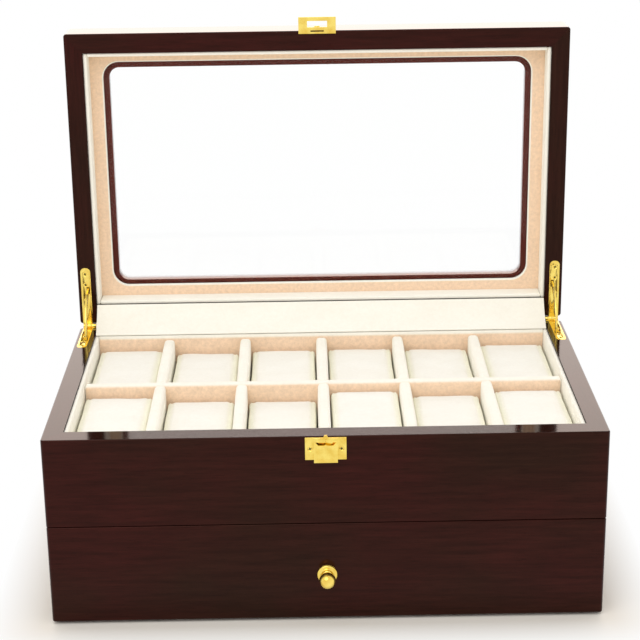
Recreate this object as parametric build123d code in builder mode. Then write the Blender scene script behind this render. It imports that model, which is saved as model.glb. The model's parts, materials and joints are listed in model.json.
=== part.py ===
"""Watch box with a drawer: a lacquered wooden box for 24 watches, shown with its lid open.

Sizes are millimetres. X runs to the right, Y to the back and Z up, and the origin is the middle of the
felt under the base. The lid stands open at a right angle, and the drawer is shut.
"""

from math import asin, cos, degrees, radians
import os

from build123d import *

# Overall sizes
WIDTH = 335.0
DEPTH = 201.5
RIM_HEIGHT = 121.0
SEAM_HEIGHT = 64.7
LID_HEIGHT = 24.0

# Boards of the carcase
SIDE_THICK = 12.0
FRONT_THICK = 13.0
BACK_THICK = 13.5
DECK_THICK = 5.0
DECK_LAP = 1.8
BASE_THICK = 6.0
FELT_THICK = 1.0
FELT_MARGIN = 2.5
PARTING_GAP = 0.5
CORNER_RADIUS = 2.0
RIM_ARRIS = 0.8

# Linings and dividers of the tray
LINING_THICK = 2.5
LINING_DROP = 1.0
LINING_JOINT = 0.1
FLOOR_LINING = 1.5
DIVIDER_THICK = 7.0
DIVIDER_DROP = 3.7
DIVIDER_ARRIS = 1.5
LAP_CLEARANCE = 0.1
COLUMNS = 6

# Cushions, and how far the top of each lies below its rim, from left to right
CUSHION_END_GAP = 1.2
CUSHION_WALL_GAP = 1.25
CUSHION_LIFT = 0.3
CUSHION_TOP_RADIUS = 14.0
CUSHION_FOOT_RADIUS = 8.0
CUSHION_CROWN = 1.2
FRONT_ROW_DROPS = (9.3, 13.0, 13.7, 7.7, 11.5, 8.9)
BACK_ROW_DROPS = (9.7, 12.3, 11.2, 10.7, 11.8, 9.5)
DRAWER_CUSHION_DROP = 5.0

# Drawer
DRAWER_FLOOR_GAP = 1.5
DRAWER_RUN_GAP = 0.3
DRAWER_SIDE_GAP = 0.8
DRAWER_BACK_GAP = 2.0
DRAWER_HEADROOM = 5.0
DRAWER_SIDE_THICK = 8.0
DRAWER_BOTTOM_THICK = 3.0
DRAWER_BOTTOM_RISE = 1.0
DRAWER_LINING = 2.0
DRAWER_DIVIDER = 6.0
DRAWER_FRONT_ARRIS = 1.2

# Knob
KNOB_HEIGHT = 31.0
ROSETTE_RADIUS = 6.15
ROSETTE_THICK = 1.6
NECK_RADIUS = 2.3
BALL_RADIUS = 5.05
BALL_REACH = 8.6
KNOB_SCREW_RADIUS = 1.5
KNOB_SCREW_DEPTH = 6.0
KNOB_SCREW_HEAD_RADIUS = 3.4
KNOB_SCREW_HEAD = 2.2

# Lid
LID_TOP_THICK = 7.0
LID_ARRIS = 1.6
FRAME_SIDE_WIDTH = 27.0
FRAME_END_WIDTH = 25.75
WINDOW_RADIUS = 7.0
WINDOW_REVEAL = 3.8
GLASS_THICK = 2.0
GLASS_LAP = 6.0

# Hinges: the axis lies behind the back and a little above the rim
HINGE_OUT = 1.9
HINGE_UP = 0.85
LID_GAP = 0.3
LEAF_MARGIN = 2.0
LEAF_WIDTH = 6.8
LEAF_TAIL = 4.4
LEAF_THICK = 1.5
LEAF_END_RADIUS = 3.0
KNUCKLE_INSET = 0.1
KNUCKLE_LENGTH = 8.9
KNUCKLE_RADIUS = 1.75
KNUCKLE_GAP = 0.1
HINGE_PIN_RADIUS = 0.9
RUNNING_CLEARANCE = 0.05
HINGE_SCREW_INSET = 3.1
HINGE_SCREW_BEFORE_SLOT = 4.2
HINGE_SCREW_AFTER_SLOT = 1.8
HINGE_SCREW_PITCH = 7.6
HINGE_SCREW_HEAD = 1.6
HINGE_SCREW_SHANK = 0.9
HINGE_SCREW_LENGTH = 10.0

# Stay arms, thin quadrants about the hinge axis
ARM_INSET = 1.9
ARM_THICK = 1.2
ARM_INNER_RADIUS = 24.0
ARM_OUTER_RADIUS = 28.0
ARM_GRIP = 3.0
ARM_ROOF = 1.1
SLOT_SIDE_CLEARANCE = 0.3
SLOT_RADIAL_CLEARANCE = 0.4
SLOT_END_ANGLE = 1.5
SLOT_MOUTH_ANGLE = 5.0

# Flap over the hinge gap
FLAP_MARGIN = 0.5
FLAP_THICK = 1.1
FLAP_SEAT_GAP = 0.05
FLAP_SEAT_SHIFT = 0.3
FLAP_TOP_GAP = 0.95

# Catch on the front panel
CATCH_WIDTH = 24.4
CATCH_TOP_DROP = 0.5
CATCH_HEIGHT = 14.0
CATCH_PLATE = 1.0
CATCH_SCREW_SPREAD = 9.3
CATCH_SCREW_DROP = 7.5
CATCH_SCREW_HEAD = 1.6
CATCH_SCREW_SHANK = 0.9
CATCH_SCREW_LENGTH = 9.0
EAR_SPREAD = 5.4
EAR_WIDTH = 0.8
EAR_RADIUS = 0.85
CATCH_PIN_DROP = 9.0
CATCH_PIN_REACH = 1.9
CATCH_PIN_RADIUS = 0.45
CATCH_PIN_LENGTH = 12.2
LEVER_WIDTH = 14.0
LEVER_REACH = 2.9
LEVER_THICK = 0.8
LEVER_TOP_DROP = -0.1
LEVER_FOOT_DROP = 15.4
LUG_SPREAD = 4.35
LUG_WIDTH = 0.9
LUG_RADIUS = 0.8
WING_TOP_DROP = 2.4
WING_HEIGHT = 2.2
WING_TOP_HALF = 6.3
WING_FOOT_HALF = 4.4
WING_NOSE_HALF = 1.2
WING_NOSE_RISE = 0.5
BUMP_RADIUS = 1.6
BUMP_SLIT_WIDTH = 0.7
BUMP_SLIT_HEIGHT = 2.0
BARB_WIDTH = 1.8
BARB_HEIGHT = 0.4
BARB_LENGTH = 0.9
SPRING_WIDTH = 6.0
SPRING_THICK = 0.2
SPRING_TOP_DROP = 5.5
SPRING_KNEE_DROP = 11.0
SPRING_FOOT_DROP = 13.5

# Strike on the lid
STRIKE_WIDTH = 24.7
STRIKE_THICK = 1.0
STRIKE_LET_IN = 2.0
STRIKE_REACH = 9.0
STRIKE_HEIGHT = 9.0
STRIKE_WINDOW_WIDTH = 13.2
STRIKE_WINDOW_NEAR = 2.3
STRIKE_WINDOW_FAR = 6.4
STRIKE_SLIT_WIDTH = 8.8
STRIKE_SLIT_HEIGHT = 1.4
STRIKE_SCREW_RISE = 5.0
STRIKE_SCREW_HEAD = 1.9
STRIKE_SCREW_HEAD_HEIGHT = 1.6
STRIKE_SCREW_SHANK = 1.0
STRIKE_SCREW_LENGTH = 8.0

# Places that follow from the sizes above
SIDES = ((-1, "left"), (1, "right"))
OUTER_X = WIDTH / 2
FRONT_Y = -DEPTH / 2
BACK_Y = DEPTH / 2
INNER_X = OUTER_X - SIDE_THICK
INNER_FRONT_Y = FRONT_Y + FRONT_THICK
INNER_BACK_Y = BACK_Y - BACK_THICK
PANEL_FOOT = SEAM_HEIGHT + PARTING_GAP
DECK_TOP = PANEL_FOOT + DECK_LAP
DECK_FOOT = DECK_TOP - DECK_THICK
BASE_TOP = FELT_THICK + BASE_THICK
LINING_TOP = RIM_HEIGHT - LINING_DROP

HINGE_Y = BACK_Y + HINGE_OUT
HINGE_Z = RIM_HEIGHT + HINGE_UP
AXIS_RISE = HINGE_UP - LID_GAP
LID_RIM_Y = HINGE_Y - AXIS_RISE
LID_MID_Z = HINGE_Z + HINGE_OUT + DEPTH / 2
LID_RAIL_HEIGHT = LID_HEIGHT - LID_TOP_THICK
LINING_BOARD_FOOT = LID_RAIL_HEIGHT - LINING_THICK
WINDOW_WIDTH = WIDTH - 2 * FRAME_SIDE_WIDTH
WINDOW_DEPTH = DEPTH - 2 * FRAME_END_WIDTH
LEAF_OUT_X = OUTER_X - LEAF_MARGIN
LEAF_IN_X = LEAF_OUT_X - LEAF_WIDTH
HINGE_SCREW_X = LEAF_OUT_X - HINGE_SCREW_INSET
KNUCKLE_X = LEAF_OUT_X - KNUCKLE_INSET - KNUCKLE_LENGTH
ARM_X = LEAF_IN_X + ARM_INSET
SLOT_INNER_RADIUS = ARM_INNER_RADIUS - SLOT_RADIAL_CLEARANCE
SLOT_OUTER_RADIUS = ARM_OUTER_RADIUS + SLOT_RADIAL_CLEARANCE
HINGE_SCREW_REACHES = (
    SLOT_INNER_RADIUS - HINGE_SCREW_BEFORE_SLOT,
    SLOT_OUTER_RADIUS + HINGE_SCREW_AFTER_SLOT,
    SLOT_OUTER_RADIUS + HINGE_SCREW_AFTER_SLOT + HINGE_SCREW_PITCH,
)
LEAF_LENGTH = HINGE_SCREW_REACHES[-1] + LEAF_TAIL
LID_SLOT_ANGLE = degrees(asin((LID_RAIL_HEIGHT - ARM_ROOF - AXIS_RISE) / SLOT_OUTER_RADIUS))
ARM_LID_TURN = LID_SLOT_ANGLE - ARM_GRIP - SLOT_END_ANGLE
ARM_CARCASE_TURN = 90 - ARM_LID_TURN
CARCASE_SLOT_ANGLE = ARM_CARCASE_TURN + ARM_GRIP + SLOT_END_ANGLE

# Seen in these planes the lid lies as it does when it is shut, and the front is upright
lid_plane = Plane(origin=(0, LID_RIM_Y, LID_MID_Z), x_dir=(1, 0, 0), z_dir=(0, 1, 0))
front_plane = Plane.XZ.offset(-FRONT_Y)


def middle(span):
    """The middle of a low and a high value."""
    return (span[0] + span[1]) / 2


def box_in(x_span, y_span, z_span, plane=Plane.XY, mode=Mode.ADD):
    """A box between low and high values, added to the part being built or cut from it."""
    with BuildSketch(plane.offset(z_span[0])) as outline:
        with Locations((middle(x_span), middle(y_span))):
            Rectangle(x_span[1] - x_span[0], y_span[1] - y_span[0])
    extrude(outline.sketch, amount=z_span[1] - z_span[0], mode=mode)


def rod_in(x_span, y, z, radius, mode=Mode.ADD):
    """A round rod along X, added to the part being built or cut from it."""
    with BuildSketch(Plane.YZ.offset(x_span[0])) as outline:
        with Locations((y, z)):
            Circle(radius)
    extrude(outline.sketch, amount=x_span[1] - x_span[0], mode=mode)


def mirrored_span(side, near, far):
    """A span in X on the left or the right, from distances to the middle."""
    return tuple(sorted((side * near, side * far)))


def save(piece, label):
    """Name a finished piece and write its file."""
    piece.part.label = label
    export_step(piece.part, f"parts/{label}.step")


def screw_group(planes, head_radius, shank_radius, length):
    """Countersunk screws, each with its head flush in its plane."""
    with BuildPart(*planes) as screws:
        Cylinder(shank_radius, length, align=(Align.CENTER, Align.CENTER, Align.MAX))
        Cone(
            shank_radius,
            head_radius,
            head_radius - shank_radius,
            align=(Align.CENTER, Align.CENTER, Align.MAX),
        )
    return screws


def ring_slice(side, half_width, radii, turn):
    """A slice of a ring about the hinge axis. Its turn runs from straight forward, 0, to straight up, 90."""
    with BuildPart() as piece:
        with BuildSketch(Plane.YZ.offset(side * ARM_X - half_width)):
            with BuildLine():
                inner = CenterArc((HINGE_Y, HINGE_Z), radii[0], 180 - turn[1], turn[1] - turn[0])
                outer = CenterArc((HINGE_Y, HINGE_Z), radii[1], 180 - turn[1], turn[1] - turn[0])
                Line(inner @ 0, outer @ 0)
                Line(inner @ 1, outer @ 1)
            make_face()
        extrude(amount=2 * half_width)
    return piece


def leaf_plate(side, plane, into):
    """The plate of a hinge leaf, which is also the recess that it lies in."""
    span = mirrored_span(side, LEAF_IN_X, LEAF_OUT_X)
    front = BACK_Y + HINGE_OUT - LEAF_LENGTH
    with BuildPart() as plate:
        with BuildSketch(plane) as outline:
            with Locations((middle(span), (front + BACK_Y) / 2)):
                Rectangle(LEAF_WIDTH, BACK_Y - front)
            fillet(outline.vertices().group_by(Axis.Y)[0], LEAF_END_RADIUS)
        extrude(amount=into * LEAF_THICK)
    return plate


def cushion_section(plane, depth, low, high):
    """One upright section of a cushion: flat below, rounded at its corners and crowned above."""
    half = depth / 2
    round_top = min(CUSHION_TOP_RADIUS, (high - low) / 2)
    bite = 1 - cos(radians(45))
    top = high - CUSHION_CROWN
    foot = CUSHION_FOOT_RADIUS
    with BuildSketch(plane) as section:
        with BuildLine():
            Line((foot - half, low), (half - foot, low))
            ThreePointArc((half - foot, low), (half - foot * bite, low + foot * bite), (half, low + foot))
            Line((half, low + foot), (half, top - round_top))
            ThreePointArc(
                (half, top - round_top),
                (half - round_top * bite, top - round_top * bite),
                (half - round_top, top),
            )
            ThreePointArc((half - round_top, top), (0, high), (round_top - half, top))
            ThreePointArc(
                (round_top - half, top),
                (round_top * bite - half, top - round_top * bite),
                (-half, top - round_top),
            )
            Line((-half, top - round_top), (-half, low + foot))
            ThreePointArc((-half, low + foot), (foot * bite - half, low + foot * bite), (foot - half, low))
        make_face()
    return section.sketch


# Along half of a cushion: the share of its half width, how far it is drawn in, and how far it lifts
CUSHION_STATIONS = ((-1.0, 6.0, 2.0), (-0.84, 1.8, 0.5), (0.0, 0.0, 0.0), (0.84, 1.8, 0.5), (1.0, 6.0, 2.0))


def cushion_in(x, y, low, high, width, depth):
    """A loose cushion with drawn-in ends, added to the part being built."""
    sections = []
    for share, drawn_in, lifted in CUSHION_STATIONS:
        plane = Plane(origin=(x + share * width / 2, y, 0), x_dir=(0, 1, 0), z_dir=(1, 0, 0))
        sections.append(cushion_section(plane, depth - 2 * drawn_in, low + lifted, high - drawn_in / 2))
    loft(sections, ruled=True)


os.makedirs("parts", exist_ok=True)

# Cutters and fasteners of the hinges, shared by the leaves and the boards
rim_plane = Plane.XY.offset(RIM_HEIGHT)
leaf_recesses = {}
carcase_slots = {}
lid_recesses = {}
lid_slots = {}
for side, word in SIDES:
    radii = (SLOT_INNER_RADIUS, SLOT_OUTER_RADIUS)
    half_width = ARM_THICK / 2 + SLOT_SIDE_CLEARANCE
    leaf_recesses[word] = leaf_plate(side, rim_plane, -1).part
    lid_recesses[word] = leaf_plate(side, lid_plane, 1).part
    carcase_slots[word] = ring_slice(side, half_width, radii, (-CARCASE_SLOT_ANGLE, SLOT_MOUTH_ANGLE)).part
    lid_slots[word] = ring_slice(side, half_width, radii, (90 - SLOT_MOUTH_ANGLE, 90 + LID_SLOT_ANGLE)).part

carcase_screw_planes = []
lid_screw_planes = []
for side, word in SIDES:
    for reach in HINGE_SCREW_REACHES:
        x = side * HINGE_SCREW_X
        carcase_screw_planes.append(Plane(origin=(x, HINGE_Y - reach, RIM_HEIGHT), z_dir=(0, 0, 1)))
        lid_screw_planes.append(Plane(origin=(x, LID_RIM_Y, HINGE_Z + reach), z_dir=(0, -1, 0)))
hinge_carcase_screws = screw_group(
    carcase_screw_planes, HINGE_SCREW_HEAD, HINGE_SCREW_SHANK, HINGE_SCREW_LENGTH
)
save(hinge_carcase_screws, "hinge_carcase_screws")
hinge_lid_screws = screw_group(lid_screw_planes, HINGE_SCREW_HEAD, HINGE_SCREW_SHANK, HINGE_SCREW_LENGTH)
save(hinge_lid_screws, "hinge_lid_screws")

catch_screw_planes = [
    Plane(
        origin=(side * CATCH_SCREW_SPREAD, FRONT_Y - CATCH_PLATE, RIM_HEIGHT - CATCH_SCREW_DROP),
        z_dir=(0, -1, 0),
    )
    for side, word in SIDES
]
catch_screws = screw_group(catch_screw_planes, CATCH_SCREW_HEAD, CATCH_SCREW_SHANK, CATCH_SCREW_LENGTH)
save(catch_screws, "catch_screws")

# Carcase: one rounded shell, parted into four mitred boards
with BuildPart() as carcase_shell:
    with BuildSketch(Plane.XY.offset(FELT_THICK)):
        Rectangle(WIDTH, DEPTH)
    extrude(amount=RIM_HEIGHT - FELT_THICK)
    fillet(carcase_shell.edges().filter_by(Axis.Z), CORNER_RADIUS)
    fillet(carcase_shell.faces().sort_by(Axis.Z)[-1].edges(), RIM_ARRIS)
    box_in(
        (-INNER_X, INNER_X),
        (INNER_FRONT_Y, INNER_BACK_Y),
        (FELT_THICK, RIM_HEIGHT),
        mode=Mode.SUBTRACT,
    )


def mitred_board(shell, plane, height, corners):
    """The part of a shell that lies over one mitred outline."""
    with BuildPart() as board:
        with BuildSketch(plane):
            Polygon(*corners, align=None)
        extrude(amount=height)
        add(shell, mode=Mode.INTERSECT)
    return board


def side_corners(side):
    """The outline of a side board or side rail, with a mitre at each end."""
    return (
        (side * INNER_X, INNER_FRONT_Y),
        (side * OUTER_X, FRONT_Y),
        (side * OUTER_X, BACK_Y),
        (side * INNER_X, INNER_BACK_Y),
    )


front_corners = ((-OUTER_X, FRONT_Y), (OUTER_X, FRONT_Y), (INNER_X, INNER_FRONT_Y), (-INNER_X, INNER_FRONT_Y))
back_corners = ((-OUTER_X, BACK_Y), (OUTER_X, BACK_Y), (INNER_X, INNER_BACK_Y), (-INNER_X, INNER_BACK_Y))
shell_plane = Plane.XY.offset(FELT_THICK)

for side, word in SIDES:
    board = mitred_board(carcase_shell.part, shell_plane, RIM_HEIGHT, side_corners(side))
    with BuildPart() as carcase_side:
        add(board.part)
        box_in((-OUTER_X, OUTER_X), (FRONT_Y, INNER_FRONT_Y), (0, PANEL_FOOT), mode=Mode.SUBTRACT)
        add(leaf_recesses[word], mode=Mode.SUBTRACT)
        add(carcase_slots[word], mode=Mode.SUBTRACT)
        add(hinge_carcase_screws.part, mode=Mode.SUBTRACT)
    save(carcase_side, f"carcase_{word}_side")

with BuildPart() as carcase_back:
    add(mitred_board(carcase_shell.part, shell_plane, RIM_HEIGHT, back_corners).part)
    for side, word in SIDES:
        add(leaf_recesses[word], mode=Mode.SUBTRACT)
        add(carcase_slots[word], mode=Mode.SUBTRACT)
save(carcase_back, "carcase_back")

with BuildPart() as carcase_front_panel:
    add(mitred_board(carcase_shell.part, shell_plane, RIM_HEIGHT, front_corners).part)
    box_in((-OUTER_X, OUTER_X), (FRONT_Y, INNER_FRONT_Y), (0, PANEL_FOOT), mode=Mode.SUBTRACT)
    add(catch_screws.part, mode=Mode.SUBTRACT)
save(carcase_front_panel, "carcase_front_panel")

with BuildPart() as carcase_deck:
    box_in((-INNER_X, INNER_X), (INNER_FRONT_Y, INNER_BACK_Y), (DECK_FOOT, DECK_TOP))
save(carcase_deck, "carcase_deck")

with BuildPart() as carcase_base:
    box_in((-INNER_X, INNER_X), (INNER_FRONT_Y, INNER_BACK_Y), (FELT_THICK, BASE_TOP))
save(carcase_base, "carcase_base")

with BuildPart() as base_felt:
    felt_x = OUTER_X - FELT_MARGIN
    box_in((-felt_x, felt_x), (INNER_FRONT_Y + FELT_MARGIN, BACK_Y - FELT_MARGIN), (0, FELT_THICK))
save(base_felt, "base_felt")


def lining_boards(half_x, y_span, z_span, thick, walls, plane=Plane.XY):
    """Wall linings inside a box of boards. The side pieces run through, and the others fit between them."""
    between = (thick - half_x + LINING_JOINT, half_x - thick - LINING_JOINT)
    with BuildPart() as linings:
        for wall in walls:
            if wall == "sides":
                box_in((-half_x, thick - half_x), y_span, z_span, plane)
                box_in((half_x - thick, half_x), y_span, z_span, plane)
            if wall == "front":
                box_in(between, (y_span[0], y_span[0] + thick), z_span, plane)
            if wall == "back":
                box_in(between, (y_span[1] - thick, y_span[1]), z_span, plane)
    return linings


# Tray
tray_y = (INNER_FRONT_Y, INNER_BACK_Y)
tray_wall_linings = lining_boards(INNER_X, tray_y, (DECK_TOP, LINING_TOP), LINING_THICK, ("sides", "front"))
save(tray_wall_linings, "tray_wall_linings")
tray_back_lining = lining_boards(INNER_X, tray_y, (DECK_TOP, LINING_TOP), LINING_THICK, ("back",))
save(tray_back_lining, "tray_back_lining")


def divider_set(half_x, y_span, z_span, thick):
    """A long divider and the cross dividers halved over it, between linings."""
    middle_y = middle(y_span)
    middle_z = middle(z_span)
    pitch = (2 * half_x + thick) / COLUMNS
    places = [pitch * (column - COLUMNS / 2) for column in range(1, COLUMNS)]
    half = thick / 2
    with BuildPart() as long_divider:
        box_in((-half_x, half_x), (middle_y - half, middle_y + half), z_span)
        fillet(long_divider.faces().sort_by(Axis.Z)[-1].edges().filter_by(Axis.X), DIVIDER_ARRIS)
        for x in places:
            notch = (x - half - LAP_CLEARANCE, x + half + LAP_CLEARANCE)
            box_in(notch, (middle_y - half, middle_y + half), (middle_z, z_span[1]), mode=Mode.SUBTRACT)
    with BuildPart() as cross_dividers:
        for x in places:
            box_in((x - half, x + half), y_span, z_span)
        fillet(cross_dividers.faces().group_by(Axis.Z)[-1].edges().filter_by(Axis.Y), DIVIDER_ARRIS)
        notch = (middle_y - half - LAP_CLEARANCE, middle_y + half + LAP_CLEARANCE)
        box_in((-half_x, half_x), notch, (z_span[0], middle_z + LAP_CLEARANCE), mode=Mode.SUBTRACT)
    return long_divider, cross_dividers


bay_half_x = INNER_X - LINING_THICK
bay_y = (INNER_FRONT_Y + LINING_THICK, INNER_BACK_Y - LINING_THICK)
tray_floor = DECK_TOP + FLOOR_LINING
with BuildPart() as tray_floor_lining:
    box_in((-bay_half_x, bay_half_x), bay_y, (DECK_TOP, tray_floor))
save(tray_floor_lining, "tray_floor_lining")

tray_dividers = divider_set(bay_half_x, bay_y, (tray_floor, RIM_HEIGHT - DIVIDER_DROP), DIVIDER_THICK)
save(tray_dividers[0], "tray_long_divider")
save(tray_dividers[1], "tray_cross_dividers")


def cushion_places(half_x, y_span, thick):
    """The middle of each bay, the front row first and from left to right, and a bay's cushion size."""
    pitch = (2 * half_x + thick) / COLUMNS
    bay_depth = (y_span[1] - y_span[0] - thick) / 2
    width = pitch - thick - 2 * CUSHION_END_GAP
    depth = bay_depth - 2 * CUSHION_WALL_GAP
    rows = (y_span[0] + bay_depth / 2, y_span[1] - bay_depth / 2)
    columns = [pitch * (column + 0.5 - COLUMNS / 2) for column in range(COLUMNS)]
    return [(x, y) for y in rows for x in columns], width, depth


tray_places, tray_width, tray_depth = cushion_places(bay_half_x, bay_y, DIVIDER_THICK)
tray_drops = FRONT_ROW_DROPS + BACK_ROW_DROPS
for number, (place, drop) in enumerate(zip(tray_places, tray_drops), start=1):
    with BuildPart() as tray_cushion:
        cushion_in(*place, tray_floor + CUSHION_LIFT, RIM_HEIGHT - drop, tray_width, tray_depth)
    save(tray_cushion, f"tray_cushion_{number:02d}")

# Drawer
drawer_back_face = INNER_FRONT_Y - PARTING_GAP
with BuildPart() as drawer_front_blank:
    box_in((-OUTER_X, OUTER_X), (FRONT_Y, drawer_back_face), (DRAWER_FLOOR_GAP, SEAM_HEIGHT))
    front_face = drawer_front_blank.faces().sort_by(Axis.Y)[0]
    fillet(front_face.edges().filter_by(Axis.Z), CORNER_RADIUS)
    fillet(drawer_front_blank.faces().sort_by(Axis.Y)[0].edges().filter_by(Axis.X), DRAWER_FRONT_ARRIS)

knob_plane = Plane(origin=(0, FRONT_Y, KNOB_HEIGHT), x_dir=(1, 0, 0), z_dir=(0, -1, 0))
with BuildPart(Plane(origin=(0, drawer_back_face, KNOB_HEIGHT), z_dir=(0, 1, 0))) as knob_screw:
    Cylinder(
        KNOB_SCREW_RADIUS,
        drawer_back_face - FRONT_Y + KNOB_SCREW_DEPTH,
        align=(Align.CENTER, Align.CENTER, Align.MAX),
    )
    Cylinder(KNOB_SCREW_HEAD_RADIUS, KNOB_SCREW_HEAD, align=(Align.CENTER, Align.CENTER, Align.MAX))
save(knob_screw, "knob_screw")

with BuildPart() as drawer_front:
    add(drawer_front_blank.part)
    add(knob_screw.part, mode=Mode.SUBTRACT)
save(drawer_front, "drawer_front")

with BuildPart(knob_plane) as knob_blank:
    Cylinder(ROSETTE_RADIUS, ROSETTE_THICK, align=(Align.CENTER, Align.CENTER, Align.MIN))
    fillet(knob_blank.faces().sort_by(Axis.Y)[0].edges(), ROSETTE_THICK / 2)
    Cylinder(NECK_RADIUS, BALL_REACH, align=(Align.CENTER, Align.CENTER, Align.MIN))
    with Locations((0, 0, BALL_REACH)):
        Sphere(BALL_RADIUS)

with BuildPart() as drawer_knob:
    add(knob_blank.part)
    add(knob_screw.part, mode=Mode.SUBTRACT)
save(drawer_knob, "drawer_knob")

drawer_x = INNER_X - DRAWER_SIDE_GAP
drawer_inner_x = drawer_x - DRAWER_SIDE_THICK
drawer_end_y = INNER_BACK_Y - DRAWER_BACK_GAP
drawer_inner_y = drawer_end_y - DRAWER_SIDE_THICK
drawer_foot = BASE_TOP + DRAWER_RUN_GAP
drawer_top = DECK_FOOT - DRAWER_HEADROOM
bottom_foot = drawer_foot + DRAWER_BOTTOM_RISE
bottom_top = bottom_foot + DRAWER_BOTTOM_THICK
with BuildPart() as drawer_sides:
    for side, word in SIDES:
        span = mirrored_span(side, drawer_inner_x, drawer_x)
        box_in(span, (drawer_back_face, drawer_end_y), (drawer_foot, drawer_top))
save(drawer_sides, "drawer_sides")

with BuildPart() as drawer_back:
    box_in((-drawer_inner_x, drawer_inner_x), (drawer_inner_y, drawer_end_y), (bottom_foot, drawer_top))
save(drawer_back, "drawer_back")

with BuildPart() as drawer_bottom:
    box_in((-drawer_inner_x, drawer_inner_x), (drawer_back_face, drawer_inner_y), (bottom_foot, bottom_top))
save(drawer_bottom, "drawer_bottom")

drawer_wall_linings = lining_boards(
    drawer_inner_x,
    (drawer_back_face, drawer_inner_y),
    (bottom_top, drawer_top - LINING_DROP),
    DRAWER_LINING,
    ("sides", "front", "back"),
)
save(drawer_wall_linings, "drawer_wall_linings")

well_half_x = drawer_inner_x - DRAWER_LINING
well_y = (drawer_back_face + DRAWER_LINING, drawer_inner_y - DRAWER_LINING)
well_floor = bottom_top + FLOOR_LINING
with BuildPart() as drawer_floor_lining:
    box_in((-well_half_x, well_half_x), well_y, (bottom_top, well_floor))
save(drawer_floor_lining, "drawer_floor_lining")

drawer_dividers = divider_set(well_half_x, well_y, (well_floor, drawer_top - DIVIDER_DROP), DRAWER_DIVIDER)
save(drawer_dividers[0], "drawer_long_divider")
save(drawer_dividers[1], "drawer_cross_dividers")

well_places, well_width, well_depth = cushion_places(well_half_x, well_y, DRAWER_DIVIDER)
with BuildPart() as drawer_cushions:
    for place in well_places:
        cushion_in(*place, well_floor, drawer_top - DRAWER_CUSHION_DROP, well_width, well_depth)
save(drawer_cushions, "drawer_cushions")

# Lid, drawn in the plane of its rim
with BuildPart() as lid_blank:
    box_in((-OUTER_X, OUTER_X), (FRONT_Y, BACK_Y), (0, LID_HEIGHT), lid_plane)
    fillet(lid_blank.edges().filter_by(Axis.Y), CORNER_RADIUS)
    fillet(lid_blank.faces().sort_by(Axis.Y)[-1].edges(), LID_ARRIS)
    fillet(lid_blank.faces().sort_by(Axis.Y)[0].edges(), RIM_ARRIS)

with BuildPart() as lid_shell:
    add(lid_blank.part)
    box_in(
        (-OUTER_X, OUTER_X),
        (FRONT_Y, BACK_Y),
        (LID_RAIL_HEIGHT, LID_HEIGHT),
        lid_plane,
        Mode.SUBTRACT,
    )
    box_in((-INNER_X, INNER_X), tray_y, (0, LID_HEIGHT), lid_plane, Mode.SUBTRACT)

strike_x = STRIKE_WIDTH / 2
strike_recess = ((-strike_x, strike_x), (FRONT_Y, FRONT_Y + STRIKE_LET_IN), (0, STRIKE_THICK))

strike_screw_plane = Plane(
    origin=lid_plane.from_local_coords(Vector(0, FRONT_Y - STRIKE_THICK, STRIKE_SCREW_RISE)),
    z_dir=(0, 0, 1),
)
with BuildPart(strike_screw_plane) as strike_screw:
    Cylinder(STRIKE_SCREW_HEAD, STRIKE_SCREW_HEAD_HEIGHT, align=(Align.CENTER, Align.CENTER, Align.MIN))
    fillet(strike_screw.faces().sort_by(Axis.Z)[-1].edges(), STRIKE_SCREW_HEAD_HEIGHT / 2)
    Cylinder(STRIKE_SCREW_SHANK, STRIKE_SCREW_LENGTH, align=(Align.CENTER, Align.CENTER, Align.MAX))
save(strike_screw, "strike_screw")

for side, word in SIDES:
    with BuildPart() as lid_side_rail:
        add(mitred_board(lid_shell.part, lid_plane, LID_HEIGHT, side_corners(side)).part)
        add(lid_recesses[word], mode=Mode.SUBTRACT)
        add(lid_slots[word], mode=Mode.SUBTRACT)
        add(hinge_lid_screws.part, mode=Mode.SUBTRACT)
    save(lid_side_rail, f"lid_{word}_rail")

with BuildPart() as lid_back_rail:
    add(mitred_board(lid_shell.part, lid_plane, LID_HEIGHT, back_corners).part)
    for side, word in SIDES:
        add(lid_recesses[word], mode=Mode.SUBTRACT)
save(lid_back_rail, "lid_back_rail")

with BuildPart() as lid_front_rail:
    add(mitred_board(lid_shell.part, lid_plane, LID_HEIGHT, front_corners).part)
    box_in(*strike_recess, lid_plane, Mode.SUBTRACT)
    add(strike_screw.part, mode=Mode.SUBTRACT)
save(lid_front_rail, "lid_front_rail")


def window_in(grow, z_span, mode=Mode.ADD):
    """A rounded rectangle as large as the window and grown on each side, along the lid's thickness."""
    with BuildSketch(lid_plane.offset(z_span[0])) as outline:
        RectangleRounded(WINDOW_WIDTH + 2 * grow, WINDOW_DEPTH + 2 * grow, WINDOW_RADIUS + grow)
    extrude(outline.sketch, amount=z_span[1] - z_span[0], mode=mode)


with BuildPart() as lid_top_frame:
    add(lid_blank.part)
    box_in((-OUTER_X, OUTER_X), (FRONT_Y, BACK_Y), (0, LID_RAIL_HEIGHT), lid_plane, Mode.SUBTRACT)
    window_in(0, (LID_RAIL_HEIGHT, LID_HEIGHT), Mode.SUBTRACT)
    window_in(GLASS_LAP, (LID_RAIL_HEIGHT, LID_RAIL_HEIGHT + GLASS_THICK), Mode.SUBTRACT)
save(lid_top_frame, "lid_top_frame")

with BuildPart() as lid_glass:
    window_in(GLASS_LAP, (LID_RAIL_HEIGHT, LID_RAIL_HEIGHT + GLASS_THICK))
save(lid_glass, "lid_glass")

with BuildPart() as lid_window_lining:
    box_in((-INNER_X, INNER_X), tray_y, (LINING_BOARD_FOOT, LID_RAIL_HEIGHT), lid_plane)
    window_in(WINDOW_REVEAL, (LINING_BOARD_FOOT, LID_RAIL_HEIGHT), Mode.SUBTRACT)
save(lid_window_lining, "lid_window_lining")

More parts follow.
